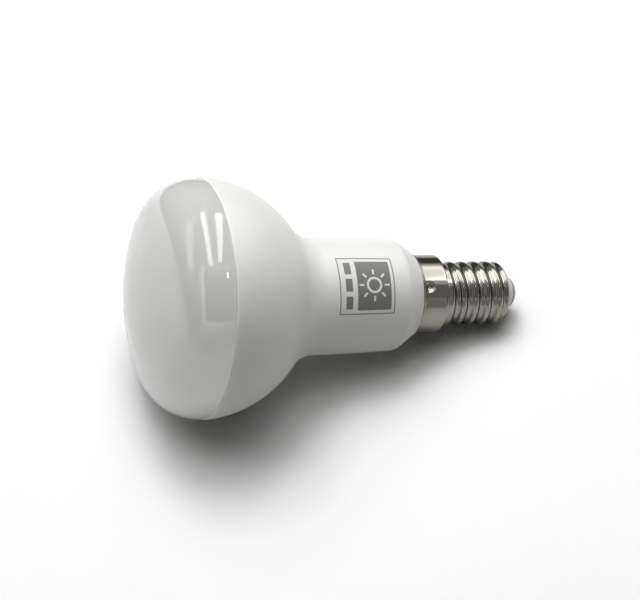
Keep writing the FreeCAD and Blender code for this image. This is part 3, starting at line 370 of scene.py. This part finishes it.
RIM_RADIUS = 25.0
RIM_LAND = 0.6
RIM_LIP = 0.3
LIP_LENGTH = 0.5
BOWL_RADIUS = 24.6
BOWL_CENTRE = (RIM_RADIUS - math.sqrt(BOWL_RADIUS ** 2 - 1.5 ** 2), SEAM - 0.9)
THROAT_RADIUS = 8.3
NECK_RADIUS = 12.37
NECK_CURVE = 300.0
NECK_EDGE = 2.2
HOUSING_WALL = 1.6
END_RADIUS = 8.96
END_EDGE = 0.35
SPIGOT_RADIUS = 8.05
SPIGOT_BORE = 6.4
GROOVE_START = HOUSING_END + 0.25
GROOVE_LENGTH = 2.8
GROOVE_DEPTH = 1.0
MOUTH_RADIUS = SKIRT_RADIUS + 0.1
MOUTH_LEDGE = SEAM + 5.1
SNAP_PLAY = 0.1
SNAP_SLOPE = 0.5
THROAT = (NECK_RADIUS + THROAT_RADIUS,
          BOWL_CENTRE[1] + math.sqrt((BOWL_RADIUS + THROAT_RADIUS) ** 2
                                     - (NECK_RADIUS + THROAT_RADIUS - BOWL_CENTRE[0]) ** 2))
RAIL_START = SEAM + 26.0
RAIL_LENGTH = 15.0
RAIL_SECTION = [(-1.1, 10.7), (-1.1, 8.2), (-2.22, 8.2), (-2.22, 9.58),
                (-3.38, 9.58), (-3.38, 8.2), (-4.5, 8.2), (-4.5, 10.7)]


def neck_radius(z):
    """Distance of the barrelled neck from the axis: a long arc that starts at the throat."""
    return NECK_RADIUS - NECK_CURVE + np.sqrt(NECK_CURVE ** 2 - (z - THROAT[1]) ** 2)


def guide_rails(first):
    """Two channels for the driver board: a section carried straight along the neck, closed at both ends."""
    count = len(RAIL_SECTION)
    vertices, faces = [], []
    for side in (1, -1):
        section = np.array(RAIL_SECTION)[::side] * (1, side)
        start = first + len(vertices)
        for z in (RAIL_START, RAIL_START + RAIL_LENGTH):
            vertices += [(x, y, z) for x, y in section]
        faces += [(start + k, start + (k + 1) % count, start + count + (k + 1) % count, start + count + k)
                  for k in range(count)]
        faces.append(tuple(range(start + count - 1, start - 1, -1)))
        faces.append(tuple(range(start + count, start + 2 * count)))
    return np.array(vertices), faces


def make_housing():
    """Bowl arc, hollow throat arc and barrelled neck that touch, a chamfer to the small end, and a spigot."""
    lean = bearing(THROAT, BOWL_CENTRE)
    land = math.degrees(math.asin((SEAM + RIM_LAND - BOWL_CENTRE[1]) / BOWL_RADIUS))
    neck_z = np.linspace(THROAT[1], NECK_END - 1.4, 14)
    neck = np.stack([neck_radius(neck_z), neck_z], axis=-1)
    end_r = float(neck_radius(NECK_END))
    corner, foot = (end_r, NECK_END), (END_RADIUS, HOUSING_END)
    groove_end = GROOVE_START + GROOVE_LENGTH
    snap_end = BEAD_START + BEAD_LENGTH + SNAP_PLAY
    inner = BOWL_RADIUS - HOUSING_WALL
    ledge_turn = math.degrees(math.asin((MOUTH_LEDGE - BOWL_CENTRE[1]) / inner))
    # The rim's rounded lip: a quarter of an ellipse that faces the dome's edge and catches a line of light
    turn = np.radians(np.linspace(0, 90, 8))
    lip_r = RIM_RADIUS - RIM_LIP * (1 - np.sin(turn))
    lip_z = SEAM + LIP_LENGTH * (1 - np.cos(turn))
    outline = np.concatenate([
        line((MOUTH_RADIUS, SEAM + HAIR), (RIM_RADIUS - RIM_LIP - 0.2, SEAM), 3),
        np.stack([lip_r, lip_z], axis=-1),
        arc(BOWL_CENTRE, BOWL_RADIUS, land, lean, 90),
        arc(THROAT, THROAT_RADIUS, lean + 180, 180, 24)[1:-1],
        neck,
        blend_corner(neck[-1], corner, foot, NECK_EDGE, 14),
        line(corner, foot, 10)[4:-1],
        blend_corner(corner, foot, (SPIGOT_RADIUS, HOUSING_END), END_EDGE, 7),
        line((SPIGOT_RADIUS, HOUSING_END), (SPIGOT_RADIUS, GROOVE_START)),
        line((SPIGOT_RADIUS - GROOVE_DEPTH, GROOVE_START), (SPIGOT_RADIUS - GROOVE_DEPTH, groove_end)),
        line((SPIGOT_RADIUS, groove_end), (SPIGOT_RADIUS, SPIGOT_END)),
        line((SPIGOT_BORE, SPIGOT_END), (SPIGOT_BORE, HOUSING_END - HOUSING_WALL / 2)),
        line((end_r - HOUSING_WALL, NECK_END - HOUSING_WALL / 2),
             (NECK_RADIUS - HOUSING_WALL, THROAT[1]), 6),
        arc(THROAT, THROAT_RADIUS + HOUSING_WALL, 180, lean + 180, 16)[1:-1],
        arc(BOWL_CENTRE, inner, lean, ledge_turn, 40),
        line((MOUTH_RADIUS, MOUTH_LEDGE), (MOUTH_RADIUS, snap_end)),
        line((MOUTH_RADIUS + BEAD, snap_end - SNAP_SLOPE),
             (MOUTH_RADIUS + BEAD, BEAD_START - SNAP_PLAY + SNAP_SLOPE)),
        line((MOUTH_RADIUS, BEAD_START - SNAP_PLAY), (MOUTH_RADIUS, SEAM + INNER_LIFT)),
    ])
    vertices, faces = spin(outline)
    rails, rail_faces = guide_rails(len(vertices))
    plastic = satin_thermoplastic()
    vertices = np.concatenate([vertices, rails])
    new_piece("moulded_housing", vertices, faces + rail_faces, plastic, ["housing"])
    make_print(plastic)


PRINT_AZIMUTH = math.radians(211.6)
PRINT_HEIGHT = SEAM + 33.0
INK_FILM = 0.02
INK_SINK = 0.06
PRINT_HALF = 6.1
FRAME_STROKE = 0.22
BLOCK_LONG = 10.6
BLOCK_WIDE = 7.6
BLOCK_PLACE = (0.0, 1.55)
BAR_SIZE = (2.7, 1.5)
BAR_PLACES = [(-3.7, -4.1), (0.0, -4.1), (3.7, -4.1)]
RING_RADIUS = 1.5
RING_STROKE = 0.5
RAY_START = 2.3
RAY_END = 3.4
RAY_STROKE = 0.42


def ink_stroke(path, width, top, closed=False, across=2):
    """A stroke of ink on the neck: a flat slab carried along a path given in mm round and along the neck.

    The path's points move out along its normals, mitred at the corners, and the way round becomes an
    azimuth at the neck's radius. The slab reaches from under the skin to its top. It closes on itself or
    at its ends.
    """
    path = np.array(path, float)
    back = np.roll(path, 1, axis=0) if closed else np.concatenate([path[:1], path[:-1]])
    ahead = np.roll(path, -1, axis=0) if closed else np.concatenate([path[1:], path[-1:]])
    way_in, way_out = path - back, ahead - path
    if not closed:
        way_in[0], way_out[-1] = way_out[0], way_in[-1]
    way_in /= np.linalg.norm(way_in, axis=1, keepdims=True)
    way_out /= np.linalg.norm(way_out, axis=1, keepdims=True)
    middle = way_in + way_out
    middle /= np.linalg.norm(middle, axis=1, keepdims=True)
    mitre = 1 / (middle * way_in).sum(axis=1, keepdims=True)
    normal = np.stack([-middle[:, 1], middle[:, 0]], axis=-1) * mitre
    share = np.concatenate([np.linspace(-0.5, 0.5, across), np.linspace(0.5, -0.5, across)])
    lift = np.concatenate([np.full(across, top), np.full(across, -INK_SINK)])
    spot = path[:, None] + normal[:, None] * (share * width)[None, :, None]
    azimuth = PRINT_AZIMUTH + spot[..., 0] / NECK_RADIUS
    z = PRINT_HEIGHT + spot[..., 1]
    radius = neck_radius(z) + lift
    vertices = np.stack([radius * np.cos(azimuth), radius * np.sin(azimuth), z], axis=-1).reshape(-1, 3)
    columns = 2 * across
    faces = grid_faces(len(path), columns, closed).tolist()
    if not closed:
        faces.append(tuple(range(columns - 1, -1, -1)))
        faces.append(tuple(range(len(vertices) - columns, len(vertices))))
    return vertices, faces


def strokes_piece(name, strokes, material):
    """One piece of several strokes, each with its own vertices and faces."""
    vertices, faces = [], []
    for points, quads in strokes:
        start = sum(len(part) for part in vertices)
        vertices.append(points)
        faces += [tuple(start + corner for corner in quad) for quad in quads]
    thing = new_piece(name, np.concatenate(vertices), faces, material, [])
    thing.data.polygons.foreach_set("use_smooth", np.zeros(len(thing.data.polygons), bool))


def straight(start, stop, step=0.4):
    """Points on a straight run, close enough to follow the neck's round."""
    count = max(2, int(math.dist(start, stop) / step) + 1)
    return line(start, stop, count)


def make_print(plastic):
    """Generic pad print: a thin frame, a block with a ring and eight rays left open in it, and three bars."""
    corners = [(-PRINT_HALF, -PRINT_HALF), (PRINT_HALF, -PRINT_HALF), (PRINT_HALF, PRINT_HALF),
               (-PRINT_HALF, PRINT_HALF)]
    sides = [straight(corners[k], corners[(k + 1) % 4])[:-1] for k in range(4)]
    u, v = BLOCK_PLACE
    block = straight((u - BLOCK_LONG / 2, v), (u + BLOCK_LONG / 2, v))
    dark = [
        ink_stroke(np.concatenate(sides), FRAME_STROKE, INK_FILM, True),
        ink_stroke(block, BLOCK_WIDE, INK_FILM, across=4),
    ]
    long, wide = BAR_SIZE
    bars = [straight((u - long / 2, v), (u + long / 2, v)) for u, v in BAR_PLACES]
    dark += [ink_stroke(bar, wide, INK_FILM) for bar in bars]
    strokes_piece("pad_print", dark, pad_ink())
    centre = np.array(BLOCK_PLACE)
    turn = np.radians(np.arange(0, 360, 9.0))
    circle = centre + RING_RADIUS * np.stack([np.cos(turn), np.sin(turn)], axis=-1)
    light = [ink_stroke(circle, RING_STROKE, 2 * INK_FILM, True)]
    for azimuth in np.radians(np.arange(0, 360, 45.0)):
        way = np.array([math.cos(azimuth), math.sin(azimuth)])
        ray = straight(centre + RAY_START * way, centre + RAY_END * way)
        light.append(ink_stroke(ray, RAY_STROKE, 2 * INK_FILM))
    strokes_piece("pad_print_open_marks", light, plastic)


CAP_RADIUS = 8.41
CAP_SHEET = 0.3
LIP_RADIUS = 8.82
LIP_LAND = 0.3
LIP_BEND = 0.45
COLLAR_BEND = 2.4
ROOT_RADIUS = 6.15
CREST_RADIUS = 6.87
ROOT_OUT = 0.4
ROOT_UP = 0.36
PITCH = 2.822
WAVE_HALF = (PITCH - 0.1) / 2
WAVE_RISE = CREST_RADIUS - ROOT_RADIUS
WAVE_BEND = (WAVE_HALF ** 2 + WAVE_RISE ** 2) / (4 * WAVE_RISE)
THREAD_START = SEAM + 18 * PITCH + 2.252
CURL_BEND = 2.4
CURL_MOUTH = 4.6
CRIMP_Z = SEAM + 48.8
CRIMP_AZIMUTH = -148.5
PUNCH_RADIUS = 1.5
PUNCH_DEPTH = 0.55
CRIMP_ROUND = 0.22


def thread_wave(azimuth, z, sheet):
    """Radius of the rolled thread: round crests and hollows of one bend that touch halfway, a pitch a turn.

    A sheet's thickness moves the wave inward, so the crest arc shrinks and the hollow arc grows by it.
    """
    turns = (z - THREAD_START) / PITCH - azimuth / (2 * np.pi)
    away = np.abs(turns - np.round(turns)) * PITCH
    crown, hollow = WAVE_BEND - sheet, WAVE_BEND + sheet
    touch = WAVE_HALF * crown / (2 * WAVE_BEND)
    crest = CREST_RADIUS - WAVE_BEND + np.sqrt(crown ** 2 - np.minimum(away, touch) ** 2)
    beyond = np.clip(WAVE_HALF - away, 0, WAVE_HALF - touch)
    root = ROOT_RADIUS + WAVE_BEND - np.sqrt(hollow ** 2 - beyond ** 2)
    return np.where(away < touch, crest, root)


def crimp_limit(azimuth, z, ball):
    """Radius of the punched pits: the near side of a ball that dips below the collar at each punch."""
    turn = (azimuth - math.radians(CRIMP_AZIMUTH) + np.pi / 4) % (np.pi / 2) - np.pi / 4
    away = (turn * CAP_RADIUS) ** 2 + (z - CRIMP_Z) ** 2
    centre = CAP_RADIUS + PUNCH_RADIUS - PUNCH_DEPTH
    return np.where(away < ball ** 2, centre - np.sqrt(np.maximum(ball ** 2 - away, 0)), 2 * CAP_RADIUS)


def soft_least(first, second, width):
    """The lesser of two values, rounded over a width where they meet."""
    share = np.clip(0.5 + (second - first) / (2 * width), 0, 1)
    return second + (first - second) * share - width * share * (1 - share)


def shell_side(sheet, count):
    """Outline (r, z) of one side of the shell, without its thread: collar, shoulder, root and curl."""
    radius = CAP_RADIUS - sheet
    bend = COLLAR_BEND - sheet
    root = ROOT_RADIUS - sheet
    centre = (CAP_RADIUS - COLLAR_BEND, COLLAR_END)
    foot = ROOT_RADIUS + ROOT_OUT - sheet
    lean = math.degrees(math.acos((foot - centre[0]) / bend))
    shoulder = COLLAR_END + math.sqrt(bend ** 2 - (foot - centre[0]) ** 2)
    curl = CURL_BEND - sheet
    end_turn = math.degrees(math.acos((CURL_MOUTH - CREST_RADIUS + CURL_BEND) / curl))
    curled = arc((CREST_RADIUS - CURL_BEND, SHELL_TOP), curl, 0, end_turn, count // 3)
    curled[:, 0] = np.minimum(curled[:, 0], root)
    return np.concatenate([
        line((radius, CAP_START + LIP_LAND + LIP_BEND + 0.05), (radius, COLLAR_END), count // 3),
        arc(centre, bend, 0, lean, count // 5)[1:],
        line((root + 0.1, shoulder + ROOT_UP * 0.7), (root, shoulder + ROOT_UP)),
        line((root, shoulder + ROOT_UP + 0.1), (root, SHELL_TOP - 0.05), count),
        curled,
    ])


def make_cap_shell():
    """Rolled cap: the greater of blank and thread wave, and the lesser of that and the curl or a crimp."""
    near = np.arange(-10, 10.1, 0.8)
    wide = np.arange(12, 77, 2.1)
    quarter = np.concatenate([near, wide])
    azimuth = np.radians(np.concatenate([CRIMP_AZIMUTH + 90 * k + quarter for k in range(4)]))
    lip_start = CAP_START + LIP_LAND
    lip = np.concatenate([
        line((CAP_RADIUS - CAP_SHEET, CAP_START), (LIP_RADIUS - 0.1, CAP_START), 3),
        line((LIP_RADIUS, CAP_START + 0.1), (LIP_RADIUS, lip_start)),
        arc((LIP_RADIUS, lip_start + LIP_BEND), LIP_BEND, 270, 180, 8)[1:],
    ])
    lip[:, 0] = np.maximum(lip[:, 0], CAP_RADIUS - CAP_SHEET)
    sides = [(0.0, shell_side(0.0, 140)), (CAP_SHEET, shell_side(CAP_SHEET, 60)[::-1])]
    rows = [np.broadcast_to(lip[:, :1], (len(lip), azimuth.size))]
    for sheet, outline in sides:
        z = outline[:, 1:]
        curl = CURL_BEND - sheet
        past = np.maximum(z - SHELL_TOP, 0)
        limit = CREST_RADIUS - CURL_BEND + np.sqrt(np.maximum(curl ** 2 - past ** 2, 0))
        wave = np.maximum(outline[:, :1], thread_wave(azimuth[None], z, sheet))
        shaped = np.where(z > COLLAR_END + 0.5, np.minimum(wave, limit), outline[:, :1])
        rows.append(soft_least(shaped, crimp_limit(azimuth[None], z, PUNCH_RADIUS + sheet), CRIMP_ROUND))
    radius = np.concatenate(rows)
    height = np.concatenate([lip[:, 1:], sides[0][1][:, 1:], sides[1][1][:, 1:]])
    height = np.broadcast_to(height, radius.shape)
    vertices = np.stack([radius * np.cos(azimuth), radius * np.sin(azimuth), height], axis=-1)
    faces = grid_faces(len(radius), azimuth.size, True).tolist()
    new_piece("rolled_screw_shell", vertices, faces, bright_nickel(), ["cap_shell"])


CONTACT_RADIUS = 3.3
CONTACT_RISE = 1.55
PIN_RADIUS = 0.9
INSULATOR_FOOT = SEAM + 65.7
INSULATOR_RADIUS = 5.6
NOSE_BEND = 4.1
FIT = 0.1


def make_insulator():
    """Nylon bush in the curled end: it follows the curl inside and ends in a round nose."""
    bend = CURL_BEND - CAP_SHEET - FIT
    neck = CURL_MOUTH - CAP_SHEET - FIT
    centre = (CREST_RADIUS - CURL_BEND, SHELL_TOP)
    start = math.degrees(math.acos((INSULATOR_RADIUS - centre[0]) / bend))
    stop = math.degrees(math.acos((neck - centre[0]) / bend))
    mouth = SHELL_TOP + math.sqrt(CURL_BEND ** 2 - (CURL_MOUTH - centre[0]) ** 2)
    nose_start, nose_stop = np.array([neck, mouth]), np.array([CONTACT_RADIUS, NOSE])
    run = nose_stop - nose_start
    rise = math.sqrt(NOSE_BEND ** 2 - float(run @ run) / 4)
    nose_centre = (nose_start + nose_stop) / 2 + np.array([-run[1], run[0]]) / np.linalg.norm(run) * rise
    bore = PIN_RADIUS + 0.06
    outline = np.concatenate([
        line((bore, INSULATOR_FOOT), (INSULATOR_RADIUS, INSULATOR_FOOT)),
        arc(centre, bend, start, stop, 12),
        arc(nose_centre, NOSE_BEND, bearing(nose_start, nose_centre), bearing(nose_stop, nose_centre), 16),
        line((CONTACT_RADIUS - 0.3, NOSE), (bore, NOSE)),
    ])
    vertices, faces = spin(outline, 128)
    nylon = bpy.data.materials["nylon_white_moulded"]
    new_piece("insulator_bush", vertices, faces, nylon, ["cap_insulator"])


def make_contact():
    """Contact stud: a stem under a round button, whose rise and rim give its radius."""
    nose = NOSE + 0.05
    button = (CONTACT_RADIUS ** 2 + CONTACT_RISE ** 2) / (2 * CONTACT_RISE)
    reach = math.degrees(math.asin(CONTACT_RADIUS / button))
    outline = np.concatenate([
        line((0, nose - 4.6), (PIN_RADIUS, nose - 4.6)),
        line((PIN_RADIUS, nose), (CONTACT_RADIUS - 0.06, nose)),
        arc((0, nose + 0.1 + CONTACT_RISE - button), button, 90 - reach, 90, 24),
    ])
    outline[-1, 0] = 0
    vertices, faces = spin(outline, 128)
    tin = bpy.data.materials["tin_plate_dull"]
    new_piece("contact_stud", vertices, faces, tin, ["end_contact"])


# The table, the lamps and the room that the gloss shows

def stage_mesh(name, points, material):
    """A stage surface over a grid of points in metres."""
    rows, columns = points.shape[:2]
    mesh = bpy.data.meshes.new(name)
    number = np.arange(rows * columns).reshape(rows, columns)
    quads = np.stack([number[:-1, :-1], number[:-1, 1:], number[1:, 1:], number[1:, :-1]], axis=-1)
    mesh.from_pydata(points.reshape(-1, 3).tolist(), [], quads.reshape(-1, 4).tolist())
    mesh.materials.append(material)
    thing = bpy.data.objects.new(name, mesh)
    bpy.context.scene.collection.objects.link(thing)
    return thing


def glow(name, level):
    """An even emission of the given radiance."""
    material, tree = empty_material(name)
    lamp = add(tree, "ShaderNodeEmission", Color=linear("#ffffff"), Strength=level)
    add(tree, "ShaderNodeOutputMaterial", {"Surface": lamp.outputs[0]})
    return material


def sky_band(name, azimuths, lows, highs, distance, level, lights):
    """Part of a far dome round the lamp, between two lines of elevation in degrees given at each azimuth.

    A direction (azimuth, elevation) times the distance gives each point. It lights the scene softly
    and stays out of the gloss, or shows in the gloss alone.
    """
    azimuth = np.linspace(azimuths[0], azimuths[-1], 49)
    share = np.linspace(0, 1, 13)[:, None]
    low, high = np.interp(azimuth, azimuths, lows), np.interp(azimuth, azimuths, highs)
    rise = np.radians(low * (1 - share) + high * share)
    turn = np.radians(np.broadcast_to(azimuth, rise.shape))
    way = np.stack([np.cos(rise) * np.cos(turn), np.cos(rise) * np.sin(turn), np.sin(rise)], axis=-1)
    thing = stage_mesh(name, way * distance, glow(name + "_glow", level))
    thing.visible_camera = False
    thing.visible_shadow = False
    thing.visible_transmission = False
    thing.visible_diffuse = lights
    thing.visible_glossy = not lights
    return thing


def make_floor():
    """White table: matt paper that keeps the lamp's shadow, and plain white past the reach of the lights.

    What the camera and the gloss see of it is white, and it throws back less on the lamp, as a real table.
    """
    material, tree = empty_material("table_paper_white")
    path = add(tree, "ShaderNodeLightPath")
    seen = add(tree, "ShaderNodeMath", {0: path.outputs["Is Camera Ray"], 1: path.outputs["Is Glossy Ray"]})
    seen = add(tree, "ShaderNodeMath", {0: seen.outputs[0], 1: path.outputs["Is Transmission Ray"]},
               {"use_clamp": True}).outputs[0]
    colour = add(tree, "ShaderNodeMix", {"Factor": seen}, COLOURS)
    colour.inputs[6].default_value = linear("#bcbcba")
    colour.inputs[7].default_value = linear("#ffffff")
    paper = add(tree, "ShaderNodeBsdfDiffuse", {"Color": colour.outputs[2]}, Roughness=0.5)
    place = add(tree, "ShaderNodeTexCoord").outputs["Object"]
    distance = add(tree, "ShaderNodeVectorMath", {0: place}, {"operation": "LENGTH"})
    far = add(tree, "ShaderNodeMapRange", {"Value": distance.outputs["Value"]},
              {"interpolation_type": "SMOOTHSTEP"}, From_Min=0.12, From_Max=0.3)
    bare = add(tree, "ShaderNodeMath", {0: seen, 1: far.outputs["Result"]}, {"operation": "MULTIPLY"})
    white = add(tree, "ShaderNodeEmission", Color=linear("#ffffff"), Strength=1.0)
    mix = add(tree, "ShaderNodeMixShader", {"Fac": bare.outputs[0], 1: paper.outputs[0], 2: white.outputs[0]})
    add(tree, "ShaderNodeOutputMaterial", {"Surface": mix.outputs[0]})
    side = np.array([-3.0, 3.0])
    points = np.stack([*np.meshgrid(side, side), np.zeros((2, 2))], axis=-1)
    return stage_mesh("table", points, material)


LAMP_HEIGHT = 0.7
LAMP_CENTRE = (-0.010, 0.0)
STRIP_TURN = -18.5

# Ceiling strips: x and y of the centre, length and width as shares of their height, and their radiance
# on the lamp and on the table
STRIPS = [
    (-0.115, 0.433, 1.05, 0.2, 9.2, 5.3),
    (0.37, 0.39, 1.12, 0.2, 7.0, 3.1),
    (0.855, 0.36, 1.12, 0.2, 1.9, 0.8),
]

# Soft cards, as x, y, length, width and radiance, for the lamp and for the table
LAMP_CARDS = [("soft_card", 0.01, 0.6, 0.5, 0.5, 4.3)]
TABLE_CARDS = [
    ("table_soft_card", 0.01, 0.36, 0.42, 0.42, 9.5),
    ("table_top_card", 0.0, 0.0, 0.7, 0.7, 1.3),
]

# What the cap's metal mirrors above: a bright panel between two dim ones, given in the same way
CAP_PANELS = [
    (-0.05, 0.525, 0.95, 2.8, 4.3),
    (0.055, 2.007, 2.0, 4.4, 0.42),
    (-0.16, -1.03, 2.15, 4.4, 0.24),
]
PANEL_TURN = -4.0

# Pale walls: the ends of their azimuth, their low and high elevation in degrees, radiance and receiver
WALL_DISTANCE = 1.2
WALLS = [
    ("low_wall_left", [100, 213], 2, 32, 1.25, "lit_lamp"),
    ("low_wall_right", [-30, 100], 2, 32, 0.4, "lit_lamp"),
    ("dome_front_fill", [-100, -40], 1, 14, 3.4, "lit_dome"),
    ("table_fill", [90, 180], 43, 65, 2.1, "lit_table"),
]


def lights_up(thing, receivers):
    """Keeps a light, or a glowing card, to the named group of objects."""
    thing.light_linking.receiver_collection = receivers
    return thing


def group_of(name, things):
    """A group of objects for the lights that keep to them."""
    group = bpy.data.collections.new(name)
    for thing in things:
        group.objects.link(thing)
    return group


def ceiling_lamp(name, x, y, length, width, level, receivers, turn=STRIP_TURN):
    """A flat lamp facing down, of a given radiance; its power is that times its area times pi."""
    data = bpy.data.lights.new(name, "AREA")
    data.shape = "RECTANGLE"
    data.size, data.size_y = width * LAMP_HEIGHT, length * LAMP_HEIGHT
    data.energy = level * math.pi * data.size * data.size_y
    thing = bpy.data.objects.new(name, data)
    # A little below the cards of the ceiling, so that neither hides in the other
    across, along = LAMP_CENTRE
    thing.location = (across + x * LAMP_HEIGHT, along + y * LAMP_HEIGHT, 0.99 * LAMP_HEIGHT)
    thing.rotation_euler = (0, 0, math.radians(turn))
    thing.visible_camera = False
    thing.visible_glossy = False
    bpy.context.scene.collection.objects.link(thing)
    return lights_up(thing, receivers)


def make_lights(table):
    """Ceiling strips, soft cards and pale walls, each kept to the table, the lamp or a part of the lamp."""
    pieces = [thing for thing in bpy.data.objects if thing.type == "MESH" and thing is not table]
    on_lamp = group_of("lit_lamp", pieces)
    on_table = group_of("lit_table", [table])
    group_of("lit_dome", [bpy.data.objects["opal_dome"]])
    on_cap = group_of("lit_cap", [bpy.data.objects["rolled_screw_shell"]])
    for index, (*place, lamp_level, table_level) in enumerate(STRIPS):
        ceiling_lamp("ceiling_strip_%d" % index, *place, lamp_level, on_lamp)
        ceiling_lamp("table_strip_%d" % index, *place, table_level, on_table)
    for index, values in enumerate(CAP_PANELS):
        ceiling_lamp("cap_panel_%d" % index, *values, on_cap, PANEL_TURN).visible_glossy = True
    for name, *values in LAMP_CARDS:
        ceiling_lamp(name, *values, on_lamp)
    for name, *values in TABLE_CARDS:
        ceiling_lamp(name, *values, on_table)
    for name, azimuths, low, high, level, receiver in WALLS:
        wall = sky_band(name, azimuths, [low, low], [high, high], WALL_DISTANCE, level, True)
        lights_up(wall, bpy.data.collections[receiver])
    world = bpy.data.worlds.new("studio")
    bpy.context.scene.world = world
    world.use_nodes = True
    tree = world.node_tree
    tree.nodes.clear()
    path = add(tree, "ShaderNodeLightPath")
    seen = add(tree, "ShaderNodeMath", {0: path.outputs["Is Camera Ray"], 1: path.outputs["Is Glossy Ray"]})
    seen = add(tree, "ShaderNodeMath", {0: seen.outputs[0], 1: path.outputs["Is Transmission Ray"]})
    level = add(tree, "ShaderNodeMapRange", {"Value": seen.outputs[0]}, To_Min=0.03, To_Max=1.0)
    sky = add(tree, "ShaderNodeBackground", {"Strength": level.outputs[0]})
    add(tree, "ShaderNodeOutputWorld", {"Surface": sky.outputs[0]})


# What the gloss shows above: four corners as shares of the ceiling's height, that height's share, radiance
CEILING = [
    ("strip_left", [(-0.145, 1.01), (0.045, 1.0), (-0.146, -0.154), (-0.282, -0.121)], 1.0, 3.3),
    ("strip_middle", [(0.40, 0.98), (0.78, 1.13), (0.177, -0.154), (0.039, -0.138)], 1.0, 3.3),
    ("strip_right", [(0.95, 1.4), (1.35, 1.4), (1.05, 0.0), (0.75, 0.0)], 1.0, 3.3),
    ("window", [(-0.89, 1.18), (-0.50, 0.88), (-1.03, 0.05), (-1.55, 0.27)], 1.0, 1.15),
    ("spot", [(0.30, -0.345), (0.38, -0.355), (0.40, -0.46), (0.32, -0.45)], 0.98, 9.0),
    ("right_glow", [(0.62, -0.3), (1.5, -0.3), (2.2, 2.2), (1.1, 2.2)], 1.03, 1.0),
    ("camera_stand", [(-0.51, -0.14), (0.61, -0.36), (0.82, -2.16), (-1.15, -1.39)], 1.0, 0.0),
    ("stand_edges", [(-0.72, -0.05), (0.72, -0.3), (0.95, -2.9), (-1.75, -1.75)], 1.05, 0.8),
]


# The white sheet's upper edge as the lamp sees it: azimuths, and elevations where the dark room begins
SHEET_EDGE = [
    [-110, 131, 138, 145, 151, 158, 164, 172, 181, 189, 198, 215, 235, 247, 250],
    [0, 0, 0.6, 3.6, 6.5, 8.2, 9.4, 11.2, 11.6, 10.2, 7.6, 6.4, 4.1, 0, 0],
]


def shown_in_gloss(thing):
    """Leaves a glowing card visible to reflections alone."""
    thing.visible_camera = False
    thing.visible_shadow = False
    thing.visible_diffuse = False
    thing.visible_transmission = False


def make_room():
    """The ceiling, and the dark room beyond the edges of the white sheet, which only the gloss shows."""
    for name, corners, share, level in CEILING:
        first, second, third, fourth = (np.array([*corner, 1.0]) * LAMP_HEIGHT * share for corner in corners)
        card = np.array([[first, second], [fourth, third]])
        shown_in_gloss(stage_mesh(name, card, glow(name + "_glow", level)))
    sky_band("dark_room", *SHEET_EDGE, [89.9] * len(SHEET_EDGE[0]), 2.0, 0.14, False)
    sky_band("room_front", [-158, -140, -60, -50], [0, 0, 0, 0], [10, 24, 30, 20], 1.9, 0.52, False)
    # Behind the lamp the white sheet ends 112 mm away, and on the left its side runs off at a slant
    corners = ((0.9, 0.112), (-0.04, 0.112), (-0.43, 0.43), (-1.2, 1.07))
    edge = np.array([[(x, y, z) for x, y in corners] for z in (0.001, 0.055)])
    shown_in_gloss(stage_mesh("room_behind_sheet", edge, glow("room_behind_sheet_glow", 0.14)))


# The camera stands where the photograph's outline, fitted with a lens of 124 mm, puts it

CAMERA_PLACE = (-77.10237275, -284.87828042, 374.00985251)
CAMERA_RIGHT = (0.96631199, -0.25737352, 0.0)
CAMERA_UP = (0.19865456, 0.74585094, 0.63580087)
CAMERA_FORWARD = (0.16363831, 0.61438201, -0.77185313)
LENS = 123.75


def make_camera():
    """The camera, placed by its axes, with a lens that gives the photograph's scale."""
    data = bpy.data.cameras.new("camera")
    data.lens = LENS
    data.sensor_width = 36.0
    data.clip_start = 0.01
    thing = bpy.data.objects.new("camera", data)
    placed = np.eye(4)
    placed[:3, :3] = np.stack([CAMERA_RIGHT, CAMERA_UP, -np.array(CAMERA_FORWARD)], axis=-1)
    placed[:3, 3] = np.array(CAMERA_PLACE) * MM
    thing.matrix_world = Matrix(placed.tolist())
    bpy.context.scene.collection.objects.link(thing)
    bpy.context.scene.camera = thing


make_camera()
dress_nodes()
make_diffuser()
make_housing()
make_cap_shell()
make_insulator()
make_contact()
make_lights(make_floor())
make_room()

bpy.context.scene.view_settings.view_transform = "Standard"
